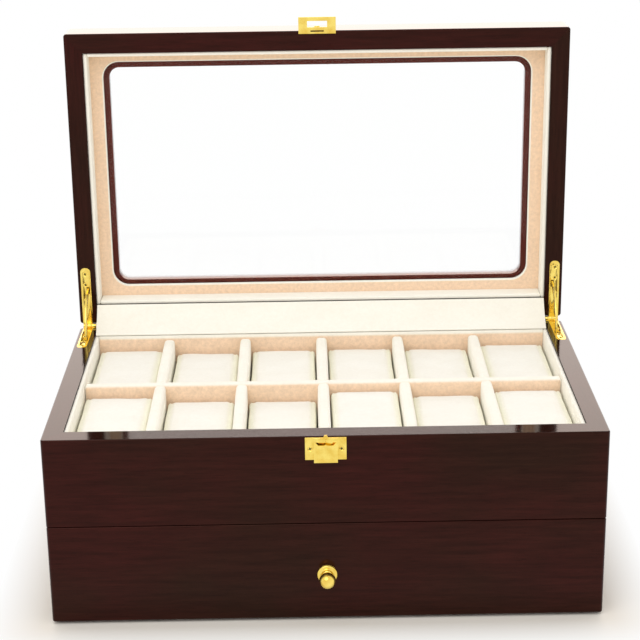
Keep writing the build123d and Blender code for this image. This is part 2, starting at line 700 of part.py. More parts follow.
lid_wall_linings = lining_boards(
    INNER_X,
    tray_y,
    (LINING_DROP, LINING_BOARD_FOOT),
    LINING_THICK,
    ("sides", "front", "back"),
    lid_plane,
)
save(lid_wall_linings, "lid_wall_linings")

# Hinges
knuckle = (KNUCKLE_LENGTH - 2 * KNUCKLE_GAP) / 3
for side, word in SIDES:
    starts = [KNUCKLE_X + step * (knuckle + KNUCKLE_GAP) for step in range(3)]
    spans = [mirrored_span(side, start, start + knuckle) for start in starts]
    with BuildPart() as carcase_leaf:
        add(leaf_recesses[word])
        for span in (spans[0], spans[2]):
            box_in(span, (BACK_Y, HINGE_Y), (RIM_HEIGHT - LEAF_THICK, RIM_HEIGHT))
            rod_in(span, HINGE_Y, HINGE_Z, KNUCKLE_RADIUS)
            rod_in(span, HINGE_Y, HINGE_Z, HINGE_PIN_RADIUS, Mode.SUBTRACT)
        add(carcase_slots[word], mode=Mode.SUBTRACT)
        add(hinge_carcase_screws.part, mode=Mode.SUBTRACT)
    save(carcase_leaf, f"hinge_carcase_leaf_{word}")
    with BuildPart() as lid_leaf:
        add(lid_recesses[word])
        box_in(spans[1], (BACK_Y, BACK_Y + HINGE_OUT), (0, LEAF_THICK), lid_plane)
        rod_in(spans[1], HINGE_Y, HINGE_Z, KNUCKLE_RADIUS)
        rod_in(spans[1], HINGE_Y, HINGE_Z, HINGE_PIN_RADIUS + RUNNING_CLEARANCE, Mode.SUBTRACT)
        add(lid_slots[word], mode=Mode.SUBTRACT)
        add(hinge_lid_screws.part, mode=Mode.SUBTRACT)
    save(lid_leaf, f"hinge_lid_leaf_{word}")
    arm_turn = (-ARM_GRIP, 90 + ARM_GRIP)
    hinge_arm = ring_slice(side, ARM_THICK / 2, (ARM_INNER_RADIUS, ARM_OUTER_RADIUS), arm_turn)
    save(hinge_arm, f"hinge_arm_{word}")

with BuildPart() as hinge_pins:
    for side, word in SIDES:
        span = mirrored_span(side, KNUCKLE_X, KNUCKLE_X + KNUCKLE_LENGTH)
        rod_in(span, HINGE_Y, HINGE_Z, HINGE_PIN_RADIUS)
save(hinge_pins, "hinge_pins")

# Flap from the tray's back lining up to the rim of the lid's back rail
flap_foot = (INNER_BACK_Y - LINING_THICK / 2 + FLAP_SEAT_SHIFT, LINING_TOP + FLAP_SEAT_GAP)
flap_head = (LID_RIM_Y, LID_MID_Z - INNER_BACK_Y - FLAP_TOP_GAP)
with BuildPart() as hinge_cover_flap:
    with BuildSketch(Plane.YZ.offset(FLAP_MARGIN - INNER_X)):
        Polygon(
            flap_foot,
            flap_head,
            (flap_head[0] - FLAP_THICK, flap_head[1]),
            (flap_foot[0] - FLAP_THICK, flap_foot[1]),
            align=None,
        )
    extrude(amount=2 * (INNER_X - FLAP_MARGIN))
save(hinge_cover_flap, "hinge_cover_flap")

# Catch
catch_top = RIM_HEIGHT - CATCH_TOP_DROP
pin_y = FRONT_Y - CATCH_PIN_REACH
pin_z = RIM_HEIGHT - CATCH_PIN_DROP
with BuildPart() as catch_base:
    box_in(
        (-CATCH_WIDTH / 2, CATCH_WIDTH / 2),
        (catch_top - CATCH_HEIGHT, catch_top),
        (0, CATCH_PLATE),
        front_plane,
    )
    for side, word in SIDES:
        span = mirrored_span(side, EAR_SPREAD - EAR_WIDTH / 2, EAR_SPREAD + EAR_WIDTH / 2)
        box_in(span, (pin_z - EAR_RADIUS, pin_z + EAR_RADIUS), (CATCH_PLATE, CATCH_PIN_REACH), front_plane)
        rod_in(span, pin_y, pin_z, EAR_RADIUS)
    rod_in((-CATCH_WIDTH / 2, CATCH_WIDTH / 2), pin_y, pin_z, CATCH_PIN_RADIUS, Mode.SUBTRACT)
    add(catch_screws.part, mode=Mode.SUBTRACT)
save(catch_base, "catch_base")

with BuildPart() as catch_pin:
    rod_in((-CATCH_PIN_LENGTH / 2, CATCH_PIN_LENGTH / 2), pin_y, pin_z, CATCH_PIN_RADIUS)
save(catch_pin, "catch_pin")

lever_plane = front_plane.offset(LEVER_REACH)
lever_top = RIM_HEIGHT - LEVER_TOP_DROP
wing_top = RIM_HEIGHT - WING_TOP_DROP
wing_foot = wing_top - WING_HEIGHT
with BuildPart() as catch_lever:
    with BuildSketch(lever_plane):
        foot = RIM_HEIGHT - LEVER_FOOT_DROP
        with Locations((0, (foot + lever_top) / 2)):
            Rectangle(LEVER_WIDTH, lever_top - foot)
        with Locations((0, lever_top)):
            Circle(BUMP_RADIUS)
        Polygon(
            (-WING_TOP_HALF, wing_top),
            (WING_TOP_HALF, wing_top),
            (WING_FOOT_HALF, wing_foot),
            (WING_NOSE_HALF, wing_foot),
            (0, wing_foot + WING_NOSE_RISE),
            (-WING_NOSE_HALF, wing_foot),
            (-WING_FOOT_HALF, wing_foot),
            align=None,
            mode=Mode.SUBTRACT,
        )
        with Locations((0, lever_top - BUMP_SLIT_HEIGHT / 2)):
            Rectangle(BUMP_SLIT_WIDTH, BUMP_SLIT_HEIGHT, mode=Mode.SUBTRACT)
    extrude(amount=LEVER_THICK)
    barb_top = lever_top + BUMP_RADIUS
    box_in(
        (-BARB_WIDTH / 2, BARB_WIDTH / 2),
        (barb_top - BARB_HEIGHT, barb_top),
        (LEVER_REACH - BARB_LENGTH, LEVER_REACH + LEVER_THICK / 2),
        front_plane,
    )
    for side, word in SIDES:
        span = mirrored_span(side, LUG_SPREAD - LUG_WIDTH / 2, LUG_SPREAD + LUG_WIDTH / 2)
        rod_in(span, pin_y, pin_z, LUG_RADIUS)
        box_in(span, (pin_z - LUG_RADIUS, pin_z + LUG_RADIUS), (CATCH_PIN_REACH, LEVER_REACH), front_plane)
        rod_in(span, pin_y, pin_z, CATCH_PIN_RADIUS + RUNNING_CLEARANCE, Mode.SUBTRACT)
save(catch_lever, "catch_lever")

with BuildPart() as catch_spring:
    seat = FRONT_Y - CATCH_PLATE
    tip = FRONT_Y - LEVER_REACH + SPRING_THICK
    with BuildSketch(Plane.YZ.offset(-SPRING_WIDTH / 2)):
        Polygon(
            (seat, RIM_HEIGHT - SPRING_TOP_DROP),
            (seat, RIM_HEIGHT - SPRING_KNEE_DROP),
            (tip, RIM_HEIGHT - SPRING_FOOT_DROP),
            (tip - SPRING_THICK, RIM_HEIGHT - SPRING_FOOT_DROP),
            (seat - SPRING_THICK, RIM_HEIGHT - SPRING_KNEE_DROP),
            (seat - SPRING_THICK, RIM_HEIGHT - SPRING_TOP_DROP),
            align=None,
        )
    extrude(amount=SPRING_WIDTH)
save(catch_spring, "catch_spring")

with BuildPart() as strike_plate:
    reach = (FRONT_Y - STRIKE_REACH, FRONT_Y + STRIKE_LET_IN)
    box_in((-strike_x, strike_x), reach, (0, STRIKE_THICK), lid_plane)
    box_in((-strike_x, strike_x), (FRONT_Y - STRIKE_THICK, FRONT_Y), (0, STRIKE_HEIGHT), lid_plane)
    half_window = STRIKE_WINDOW_WIDTH / 2
    window = (FRONT_Y - STRIKE_WINDOW_FAR, FRONT_Y - STRIKE_WINDOW_NEAR)
    box_in((-half_window, half_window), window, (0, STRIKE_THICK), lid_plane, Mode.SUBTRACT)
    half_slit = STRIKE_SLIT_WIDTH / 2
    slit = (FRONT_Y - STRIKE_SLIT_HEIGHT / 2, FRONT_Y + STRIKE_SLIT_HEIGHT / 2)
    box_in((-half_slit, half_slit), slit, (0, STRIKE_THICK), lid_plane, Mode.SUBTRACT)
    add(strike_screw.part, mode=Mode.SUBTRACT)
save(strike_plate, "strike_plate")

print("arm turns", round(ARM_CARCASE_TURN, 3), "degrees for the lid's 90, ratio", ARM_CARCASE_TURN / 90)
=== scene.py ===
"""Watch box with a drawer: its lacquer, suede, cushions, glass and brass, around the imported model."""

import json
import math

import bmesh
import bpy
from bpy.props import FloatProperty, FloatVectorProperty, IntProperty, PointerProperty
from mathutils import Matrix, Vector, noise

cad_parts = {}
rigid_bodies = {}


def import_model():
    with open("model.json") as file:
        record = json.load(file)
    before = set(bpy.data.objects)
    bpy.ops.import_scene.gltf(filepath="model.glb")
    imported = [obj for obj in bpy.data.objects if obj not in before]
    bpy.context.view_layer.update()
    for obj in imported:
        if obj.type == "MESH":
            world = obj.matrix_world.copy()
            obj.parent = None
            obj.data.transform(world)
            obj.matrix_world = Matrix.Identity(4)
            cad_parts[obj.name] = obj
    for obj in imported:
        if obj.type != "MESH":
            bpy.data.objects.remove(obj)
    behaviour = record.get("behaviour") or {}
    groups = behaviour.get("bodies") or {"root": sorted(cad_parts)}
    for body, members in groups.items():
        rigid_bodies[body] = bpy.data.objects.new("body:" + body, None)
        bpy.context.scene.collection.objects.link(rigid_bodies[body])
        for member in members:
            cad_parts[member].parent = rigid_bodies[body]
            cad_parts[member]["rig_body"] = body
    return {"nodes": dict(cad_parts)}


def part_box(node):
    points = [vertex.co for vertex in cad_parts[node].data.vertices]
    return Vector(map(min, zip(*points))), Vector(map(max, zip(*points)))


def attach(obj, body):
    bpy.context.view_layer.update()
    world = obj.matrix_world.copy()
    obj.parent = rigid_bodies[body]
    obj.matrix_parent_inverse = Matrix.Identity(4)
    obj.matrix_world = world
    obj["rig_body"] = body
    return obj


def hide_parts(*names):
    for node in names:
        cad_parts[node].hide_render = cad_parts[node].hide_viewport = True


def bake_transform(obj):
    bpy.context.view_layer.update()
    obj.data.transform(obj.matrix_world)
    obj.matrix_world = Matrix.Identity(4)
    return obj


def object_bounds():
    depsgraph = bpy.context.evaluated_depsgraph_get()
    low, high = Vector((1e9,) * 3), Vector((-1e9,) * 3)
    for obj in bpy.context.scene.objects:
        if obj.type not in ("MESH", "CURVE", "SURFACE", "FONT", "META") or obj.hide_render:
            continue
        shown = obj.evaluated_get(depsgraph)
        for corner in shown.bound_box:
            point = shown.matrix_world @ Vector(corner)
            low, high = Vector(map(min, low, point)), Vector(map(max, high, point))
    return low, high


bl_info = {
    "name": "Watch Box With Drawer",
    "version": (1, 0, 0),
    "blender": (4, 5, 0),
    "location": "3D View > Sidebar > Watch Box",
    "description": "Finishes and soft pieces of a lacquered watch box with a drawer",
    "category": "Object",
}

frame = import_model()
cad_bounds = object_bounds()
NODES = frame["nodes"]
MM = 0.001
MERGE_REACH = 0.001 * MM
BOARD_GRID = 6 * MM
# The attribute under this name carries painted shade on the suede, the velvet and the screw recesses.
TONE_NAME = "painted_shade_share"
SQUARE_FOLD = 1.0
UPRIGHT = Matrix.Rotation(math.radians(90), 4, "X")


def length_setting(name, description, default):
    """A length that a user can change."""
    return FloatProperty(name=name, description=description, default=default, unit="LENGTH")


def factor_setting(name, description, default):
    """A share that a user can change."""
    return FloatProperty(name=name, description=description, default=default, subtype="FACTOR")


def colour_setting(name, description, default):
    """A colour that a user can change, as linear values."""
    return FloatVectorProperty(
        name=name, description=description, default=default, subtype="COLOR", size=3, min=0, max=1)


def place_setting(name, description, default):
    """A place that a user can change."""
    return FloatVectorProperty(
        name=name, description=description, default=default, subtype="TRANSLATION", unit="LENGTH", size=3)


def turn_setting(name, description, degrees):
    """A turn that a user can change, given in degrees."""
    return FloatProperty(
        name=name, description=description, default=math.radians(degrees), unit="ROTATION")


class WatchBoxSizes(bpy.types.PropertyGroup):
    """Sizes of the soft and turned pieces, in metres."""

    lining_ease: length_setting(
        "Lining edge", "Rounding of the suede over a lining board's edge", 0.9 * MM)
    # The cream band is the lit top of the tray's back lining; below it the peach is painted shade.
    cream_band: length_setting(
        "Cream band", "Cream suede above the peach of the tray's back lining", 2.2 * MM)
    divider_ease: length_setting("Divider edge", "Rounding of the suede over a divider's top", 2.2 * MM)
    padding: length_setting("Padding", "How far the padding stands out of a divider's faces", 0.25 * MM)
    cushion_scale: FloatProperty(
        name="Cushion pattern scale", description="How much larger than life a cushion is stuffed",
        default=8.0)
    cushion_voxel: length_setting(
        "Cushion mesh", "Cloth mesh size of a cushion at the pattern's scale", 15 * MM)
    cushion_pressure: FloatProperty(
        name="Stuffing", description="Pressure of the stuffing in a cushion", default=4.0)
    cushion_swell: length_setting(
        "Swell limit", "Furthest that the stuffing moves the cloth, at the pattern's scale", 8 * MM)
    cushion_spread: length_setting(
        "Cushion spread", "How far a cushion spreads towards the dividers at each end", 0.6 * MM)
    cushion_square: factor_setting("Cushion corners", "How far a cushion's corners fill its bay", 0.66)
    seam_place: factor_setting(
        "Seam place", "Place of a cushion's end seams, as a share of its half width", 0.84)
    seam_depth: length_setting("Seam depth", "Depth of a cushion's end seams", 0.7 * MM)
    seam_width: length_setting("Seam width", "Half width of the groove along a seam", 0.9 * MM)
    window_fold: length_setting(
        "Window fold", "Radius of the suede's fold at the window's edge", 0.6 * MM)
    window_corner: length_setting(
        "Window corner", "Radius of the lining's corners round the window", 10.8 * MM)
    window_lift: length_setting(
        "Window lift", "How much higher the suede stands along the window's lower edge", 1.1 * MM)
    flap_thickness: length_setting("Flap", "Thickness of the fabric over the hinge gap", 0.7 * MM)
    flap_sag: length_setting(
        "Flap sag", "How far the flap hangs below a straight line between its hems", 1.4 * MM)
    brass_ease: length_setting("Brass edge", "Rounding of the edges of a brass fitting", 0.16 * MM)
    screw_head: factor_setting("Screw head", "Share of its countersink that a screw's head fills", 0.9)
    screw_slot: factor_setting(
        "Screw recess", "Width of the cross recess as a share of the head's radius", 0.42)
    turning_steps: IntProperty(
        name="Turning steps", description="Steps round a turned piece", default=48, min=12)


class WatchBoxColours(bpy.types.PropertyGroup):
    """Colours of the finishes, as linear values."""

    lacquer_red: colour_setting("Lacquer red", "Redder clouds in the stain", (0.028, 0.0052, 0.0046))
    # Painted light: a lighter red-brown on the window's reveal, which stays in shade under the lining.
    window_edge_lit: colour_setting(
        "Window edge", "Thinly lacquered wood round the glass", (0.17, 0.038, 0.028))
    lacquer_brown: colour_setting("Lacquer brown", "Browner clouds in the stain", (0.016, 0.0064, 0.0038))
    plain_board: colour_setting(
        "Plain board", "Bare board of the drawer box and the deck", (0.38, 0.25, 0.145))
    suede_cream: colour_setting(
        "Cream suede", "Suede on the linings and the dividers' tops", (0.96, 0.94, 0.86))
    # The peach is painted shade on the cream suede, for faces that turn to the front or back.
    suede_peach: colour_setting(
        "Peach suede", "Suede behind the cushions and round the window", (0.92, 0.69, 0.50))
    velvet_cream: colour_setting("Cushion velvet", "Velvet of the cushions", (0.93, 0.92, 0.87))
    # The yellower ends are painted shade where a cushion's ends curve down.
    velvet_shaded_ends: colour_setting(
        "Cushion ends", "Yellower velvet past a cushion's seams", (0.93, 0.92, 0.76))
    brass: colour_setting("Brass", "Polished brass of the fittings", (0.97, 0.75, 0.18))
    steel: colour_setting("Steel", "Steel of the spring and the knob's screw", (0.60, 0.60, 0.62))
    felt: colour_setting("Felt", "Felt under the base", (0.022, 0.016, 0.014))
    floor: colour_setting("Floor", "Pale floor near the box", (0.86, 0.82, 0.76))


class WatchBoxStage(bpy.types.PropertyGroup):
    """The camera's place and the light."""

    camera_place: place_setting("Camera", "Where the camera stands", (-0.01027, -1.03275, 0.5125))
    camera_pitch: turn_setting("Pitch", "How far the camera looks down", -18.916)
    camera_yaw: turn_setting("Yaw", "The camera's turn about the upright", -0.486)
    camera_roll: turn_setting("Roll", "The camera's turn about its own line of sight", 0.768)
    lens: FloatProperty(name="Lens", description="Focal length in millimetres", default=96.767)
    sky_level: FloatProperty(
        name="Sky", description="Level of the soft light from all round", default=0.94)
    lamp_power: FloatProperty(
        name="Lamp", description="Power of the soft lamp above the front", default=8.0, unit="POWER")
    panel_power: FloatProperty(
        name="Back panel", description="Power of the lit panel behind the box", default=26.0,
        unit="POWER")
    panel_tint: colour_setting("Panel tint", "Warm colour of the lit panel", (1.0, 0.82, 0.70))
    panel_size: FloatVectorProperty(
        name="Panel size", description="Width and height of the lit panel", default=(3.2, 1.5),
        unit="LENGTH", size=2)
    panel_place: place_setting("Panel place", "Where the lit panel stands", (0.0, 2.4, 1.1))
    lamp_size: length_setting("Lamp size", "Side of the soft lamp", 1.5)
    lamp_place: place_setting("Lamp place", "Where the soft lamp hangs", (-0.5, -1.1, 1.55))


def sizes():
    """The sizes that the operators share."""
    return bpy.context.scene.watch_box_sizes


def colours():
    """The colours that the finishes share."""
    return bpy.context.scene.watch_box_colours


# Meshes


def linked_object(name, bm):
    """An object with a bmesh's shape, in the scene."""
    mesh = bpy.data.meshes.new(name)
    bm.to_mesh(mesh)
    bm.free()
    made = bpy.data.objects.new(name, mesh)
    bpy.context.scene.collection.objects.link(made)
    return made


def new_piece(name, bm, coat, body, nodes, smooth_angle):
    """Turns a bmesh into a piece with a finish, riding on a body if one is given, for its nodes."""
    piece = linked_object(name, bm)
    if not piece.data.polygons:
        raise RuntimeError(name + " came out empty")
    piece.data.materials.append(finish(coat))
    piece.data.shade_smooth()
    piece.data.set_sharp_from_angle(angle=math.radians(smooth_angle))
    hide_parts(*nodes)
    if body:
        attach(piece, body)
    return piece


def stand_in(name, bm, coat, smooth_angle):
    """Replaces a CAD node by a piece on the node's own body."""
    return new_piece("visual_" + name, bm, coat, NODES[name]["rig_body"], [name], smooth_angle)


def finish_node(name, coat):
    """Gives a CAD node, whose shape stays, its finish."""
    mesh = NODES[name].data
    mesh.materials.clear()
    mesh.materials.append(finish(coat))


def cad_copy(name):
    """A bmesh of a CAD node with its loose triangles merged."""
    bm = bmesh.new()
    bm.from_mesh(NODES[name].data)
    bmesh.ops.remove_doubles(bm, verts=bm.verts[:], dist=2 * MERGE_REACH)
    return bm


def corners(verts):
    """The lowest and highest corners of some vertices."""
    spans = [(min(v.co[axis] for v in verts), max(v.co[axis] for v in verts)) for axis in range(3)]
    return Vector([span[0] for span in spans]), Vector([span[1] for span in spans])


def solid_boxes(name):
    """The corners of each separate solid in a CAD node, from left to right and front to back."""
    bm = cad_copy(name)
    waiting = set(bm.verts)
    boxes = []
    for start in bm.verts:
        if start not in waiting:
            continue
        waiting.remove(start)
        group = [start]
        for vert in group:
            for edge in vert.link_edges:
                other = edge.other_vert(vert)
                if other in waiting:
                    waiting.remove(other)
                    group.append(other)
        boxes.append(corners(group))
    bm.free()
    return sorted(boxes, key=lambda box: [round(box[0][axis], 4) for axis in (1, 0, 2)])


def window_opening(name):
    """The corners of the opening in a flat frame node, from the points that lie inside its outline."""
    low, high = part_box(name)
    centre, half = (low + high) / 2, (high - low) / 2
    margin = 1.0 * MM
    spans = [
        (abs(v.co.x - centre.x), abs(v.co.z - centre.z)) for v in NODES[name].data.vertices
        if abs(v.co.x - centre.x) < half.x - margin and abs(v.co.z - centre.z) < half.z - margin]
    inside = Vector((max(span[0] for span in spans), 0, max(span[1] for span in spans)))
    return centre - inside, centre + inside


def bevel(bm, edges, width, steps):
    """Rounds some edges of a bmesh."""
    return bmesh.ops.bevel(
        bm, geom=edges, offset=width, offset_type="OFFSET", segments=steps, profile=0.5,
        affect="EDGES", material=-1, clamp_overlap=True)


def folded_edges(bm, angle):
    """The edges where two faces meet at more than an angle."""
    return [edge for edge in bm.edges if len(edge.link_faces) == 2 and edge.calc_face_angle(0) > angle]


def smooth_step(value):
    """Eases a value from 0 to 1."""
    value = min(max(value, 0.0), 1.0)
    return value * value * (3 - 2 * value)


def soft_board(low, high, ease, padding, grid=BOARD_GRID):
    """A board wrapped in fabric: rounded edges, and faces that stand out a little in the middle."""
    most_cuts, edge_steps, squareness, ripple_scale = 120, 4, 8, 60
    centre, size = (low + high) / 2, high - low
    bm = bmesh.new()
    bmesh.ops.create_cube(bm, size=1.0, matrix=Matrix.Translation(centre) @ Matrix.Diagonal((*size, 1.0)))
    for axis in range(3):
        cuts = min(int(size[axis] / grid), most_cuts)
        across = [
            edge for edge in bm.edges
            if abs(edge.verts[0].co[axis] - edge.verts[1].co[axis]) > 0.9 * size[axis]]
        if cuts and size[axis] > 4 * ease:
            bmesh.ops.subdivide_edges(bm, edges=across, cuts=cuts, use_grid_fill=True)
    bevel(bm, folded_edges(bm, SQUARE_FOLD), ease, edge_steps)
    thin = min(range(3), key=lambda axis: size[axis])
    for vert in bm.verts:
        away = vert.co - centre
        share = 1.0
        for axis in range(3):
            if axis != thin:
                share *= max(1 - abs(2 * away[axis] / size[axis]) ** squareness, 0.0)
        ripple = noise.noise(vert.co * ripple_scale)
        vert.co[thin] += 2 * away[thin] / size[thin] * share * padding * (1 + 0.5 * ripple)
    return bm


def add_part(bm, part):
    """Adds a finished bmesh to another, and frees it."""
    mesh = bpy.data.meshes.new("part")
    part.to_mesh(mesh)
    part.free()
    bm.from_mesh(mesh)
    bpy.data.meshes.remove(mesh)


def eased_copy(name, width):
    """A CAD node's shape with its sharp edges rounded, for a fitting that catches the light."""
    steps, sharp_angle, flat_angle = 2, math.radians(32), math.radians(0.5)
    bm = cad_copy(name)
    bmesh.ops.dissolve_limit(
        bm, angle_limit=flat_angle, verts=bm.verts[:], edges=bm.edges[:],
        use_dissolve_boundaries=False, delimit={"NORMAL"})
    bevel(bm, folded_edges(bm, sharp_angle), width, steps)
    bmesh.ops.remove_doubles(bm, verts=bm.verts[:], dist=4 * MERGE_REACH)
    return bm


def brass_fitting(name):
    """Replaces a CAD node by its own shape with eased edges."""
    stand_in(name, eased_copy(name, sizes().brass_ease), "polished_brass", 40)


def turned(bm, profile, steps):
    """Turns a profile of (radius, height) points about the Z axis into a closed shape."""
    verts = [bm.verts.new((radius, 0.0, height)) for radius, height in profile]
    edges = [bm.edges.new(pair) for pair in zip(verts, verts[1:])]
    bmesh.ops.spin(
        bm, geom=verts + edges, cent=(0, 0, 0), axis=(0, 0, 1), angle=math.tau, steps=steps,
        use_merge=True)
    bmesh.ops.remove_doubles(bm, verts=bm.verts[:], dist=MERGE_REACH)
    bmesh.ops.recalc_face_normals(bm, faces=bm.faces[:])


def arc_points(centre, radius, start, end, count):
    """Points of a profile along an arc, with angles in degrees from the profile's outward line."""
    points = []
    for step in range(count + 1):
        angle = math.radians(start + (end - start) * step / count)
        points.append((centre[0] + radius * math.cos(angle), centre[1] + radius * math.sin(angle)))
    return points


def applied(piece):
    """The mesh that a piece's modifiers give."""
    depsgraph = bpy.context.evaluated_depsgraph_get()
    return bpy.data.meshes.new_from_object(piece.evaluated_get(depsgraph))


def cut_mesh(blank_bm, cutters):
    """The mesh of one bmesh with others cut out of it, one after the other."""
    blank = linked_object("cut blank", blank_bm)
    tools = [linked_object("cutter", cutter) for cutter in cutters]
    for tool in tools:
        cut = blank.modifiers.new("Recess", "BOOLEAN")
        cut.operation = "DIFFERENCE"
        cut.solver = "EXACT"
        cut.object = tool
    result = applied(blank)
    for leftover in [blank] + tools:
        bpy.data.objects.remove(leftover)
    return result


def screw_mesh(head_radius, head_height, shank_radius, length):
    """A countersunk screw with a cross recess, its head's top at the origin and pointing along +Z."""
    steps, dome_shares = 24, (0.0, 0.35, 0.65, 0.88)
    dome, reach, depth = 0.12 * head_radius, 1.3 * head_radius, 0.8 * head_radius
    width = sizes().screw_slot * head_radius
    profile = [(head_radius * share, dome * (1 - share ** 2)) for share in dome_shares]
    profile += [(head_radius, -0.02 * head_radius), (head_radius * 0.97, -0.2 * head_height)]
    profile += [(shank_radius, -head_height), (shank_radius, -length + shank_radius), (0.0, -length)]
    bm = bmesh.new()
    turned(bm, profile, steps)
    arms = []
    for span in ((reach, width), (width, reach)):
        arm = bmesh.new()
        place = Matrix.Translation((0, 0, dome)) @ Matrix.Diagonal((*span, depth, 1.0))
        bmesh.ops.create_cube(arm, size=1.0, matrix=place)
        arms.append(arm)
    return cut_mesh(bm, arms)


def screw_places(name, axis, sign):
    """The middle of each screw's head in a CAD node, and the radius and length of the first screw."""
    boxes = solid_boxes(name)
    places = []
    for low, high in boxes:
        place = (low + high) / 2
        place[axis] = high[axis] if sign > 0 else low[axis]
        places.append(place)
    size = boxes[0][1] - boxes[0][0]
    return places, size[0 if axis else 1] / 2, size[axis]


def fit_screws(name, axis, sign):
    """Replaces a node of screws by screws with a cross recess, whose heads face along an axis."""
    first_twist, twist_step, shank_share, set_in = 25, 47, 0.55, 0.12
    recess_top, recess_reach = 0.05, 0.75
    places, full_radius, length = screw_places(name, axis, sign)
    direction = Vector([sign if other == axis else 0 for other in range(3)])
    places = [place - direction * set_in * full_radius for place in places]
    radius = sizes().screw_head * full_radius
    mesh = screw_mesh(radius, full_radius, shank_share * full_radius, length)
    bm = bmesh.new()
    turn = Vector((0, 0, 1)).rotation_difference(direction).to_matrix().to_4x4()
    for number, place in enumerate(places):
        twist = Matrix.Rotation(math.radians(first_twist + twist_step * number), 4, "Z")
        known = set(bm.verts)
        bm.from_mesh(mesh)
        fresh = [v for v in bm.verts if v not in known]
        bmesh.ops.transform(bm, matrix=Matrix.Translation(place) @ turn @ twist, verts=fresh)
    bpy.data.meshes.remove(mesh)
    piece = stand_in(name, bm, "polished_brass", 25)

    # Painted shade: the brass turns nearly black inside each cross recess.
    def shaded_recess(co, normal):
        away = min((co - place for place in places), key=lambda offset: offset.length)
        depth = -away.dot(direction)
        across = (away + depth * direction).length
        return float(recess_top * radius < depth < radius and across < recess_reach * radius)

    paint_tone(piece, shaded_recess)


# Finishes


def add_node(tree, kind, inputs=None, **settings):
    """Adds a shader node with its settings and with values or links on its sockets."""
    node = tree.nodes.new(kind)
    for key, value in settings.items():
        setattr(node, key, value)
    for socket, value in (inputs or {}).items():
        if isinstance(value, bpy.types.NodeSocket):
            tree.links.new(value, node.inputs[socket])
        else:
            node.inputs[socket].default_value = value
    return node


def mix_colours(tree, factor, first, second, blend_type="MIX"):
    """The colour between two colours, or one multiplied by the other."""
    factor_socket, first_socket, second_socket, result = 0, 6, 7, 2
    inputs = {factor_socket: factor}
    for socket, colour in ((first_socket, first), (second_socket, second)):
        inputs[socket] = colour if isinstance(colour, bpy.types.NodeSocket) else (*colour, 1.0)
    node = add_node(tree, "ShaderNodeMix", inputs, data_type="RGBA", blend_type=blend_type)
    return node.outputs[result]


def ranged(tree, value, low, high, from_low=0.0, from_high=1.0):
    """A pattern's value carried to another range."""
    node = add_node(
        tree, "ShaderNodeMapRange",
        {"Value": value, "From Min": from_low, "From Max": from_high, "To Min": low, "To Max": high})
    return node.outputs["Result"]


def shaded(tree, base, value, low, high, dark, light):
    """A colour multiplied by a tone that follows a pattern from one value to another."""
    tone = mix_colours(tree, ranged(tree, value, 0, 1, low, high), dark, light)
    return mix_colours(tree, 1.0, base, tone, "MULTIPLY")


def pattern(tree, coordinates, scale, detail=3.0, stretch=(1, 1, 1), roughness=0.5):
    """Noise of a size in object space, stretched along the grain."""
    mapping = add_node(tree, "ShaderNodeMapping", {"Vector": coordinates, "Scale": stretch})
    node = add_node(
        tree, "ShaderNodeTexNoise",
        {"Vector": mapping.outputs["Vector"], "Scale": scale, "Detail": detail, "Roughness": roughness})
    return node.outputs["Fac"]


def bumped(tree, height, distance, strength=1.0, normal=None):
    """A normal raised by a pattern, to a depth in metres."""
    inputs = {"Height": height, "Distance": distance, "Strength": strength}
    if normal is not None:
        inputs["Normal"] = normal
    return add_node(tree, "ShaderNodeBump", inputs).outputs["Normal"]


def new_finish(name, **constants):
    """A material with one Principled surface, whose plain values are set on its sockets."""
    material = bpy.data.materials.new(name)
    material.use_nodes = True
    tree = material.node_tree
    surface = tree.nodes["Principled BSDF"]
    for socket, value in constants.items():
        surface.inputs[socket.replace("_", " ")].default_value = value
    coordinates = add_node(tree, "ShaderNodeTexCoord").outputs["Object"]
    return material, tree, surface, coordinates


def feed(tree, surface, **links):
    """Links patterns to the surface's sockets."""
    for socket, value in links.items():
        tree.links.new(value, surface.inputs[socket.replace("_", " ")])


def vector_math(tree, operation, *inputs):
    """The outputs of one step of arithmetic on vectors."""
    return add_node(tree, "ShaderNodeVectorMath", dict(enumerate(inputs)), operation=operation).outputs


def outside_box(tree, place, centre, half):
    """How far a point is outside a box, in metres."""
    away = vector_math(tree, "SUBTRACT", place, centre)[0]
    over = vector_math(tree, "SUBTRACT", vector_math(tree, "ABSOLUTE", away)[0], half)[0]
    return vector_math(tree, "LENGTH", vector_math(tree, "MAXIMUM", over, (0, 0, 0))[0])["Value"]


def painted_share(tree):
    """How far a point of a piece takes its finish's second tone, which is painted shade, from what
    paint_tone wrote.
    """
    node = add_node(tree, "ShaderNodeAttribute", attribute_type="GEOMETRY", attribute_name=TONE_NAME)
    return node.outputs["Fac"]


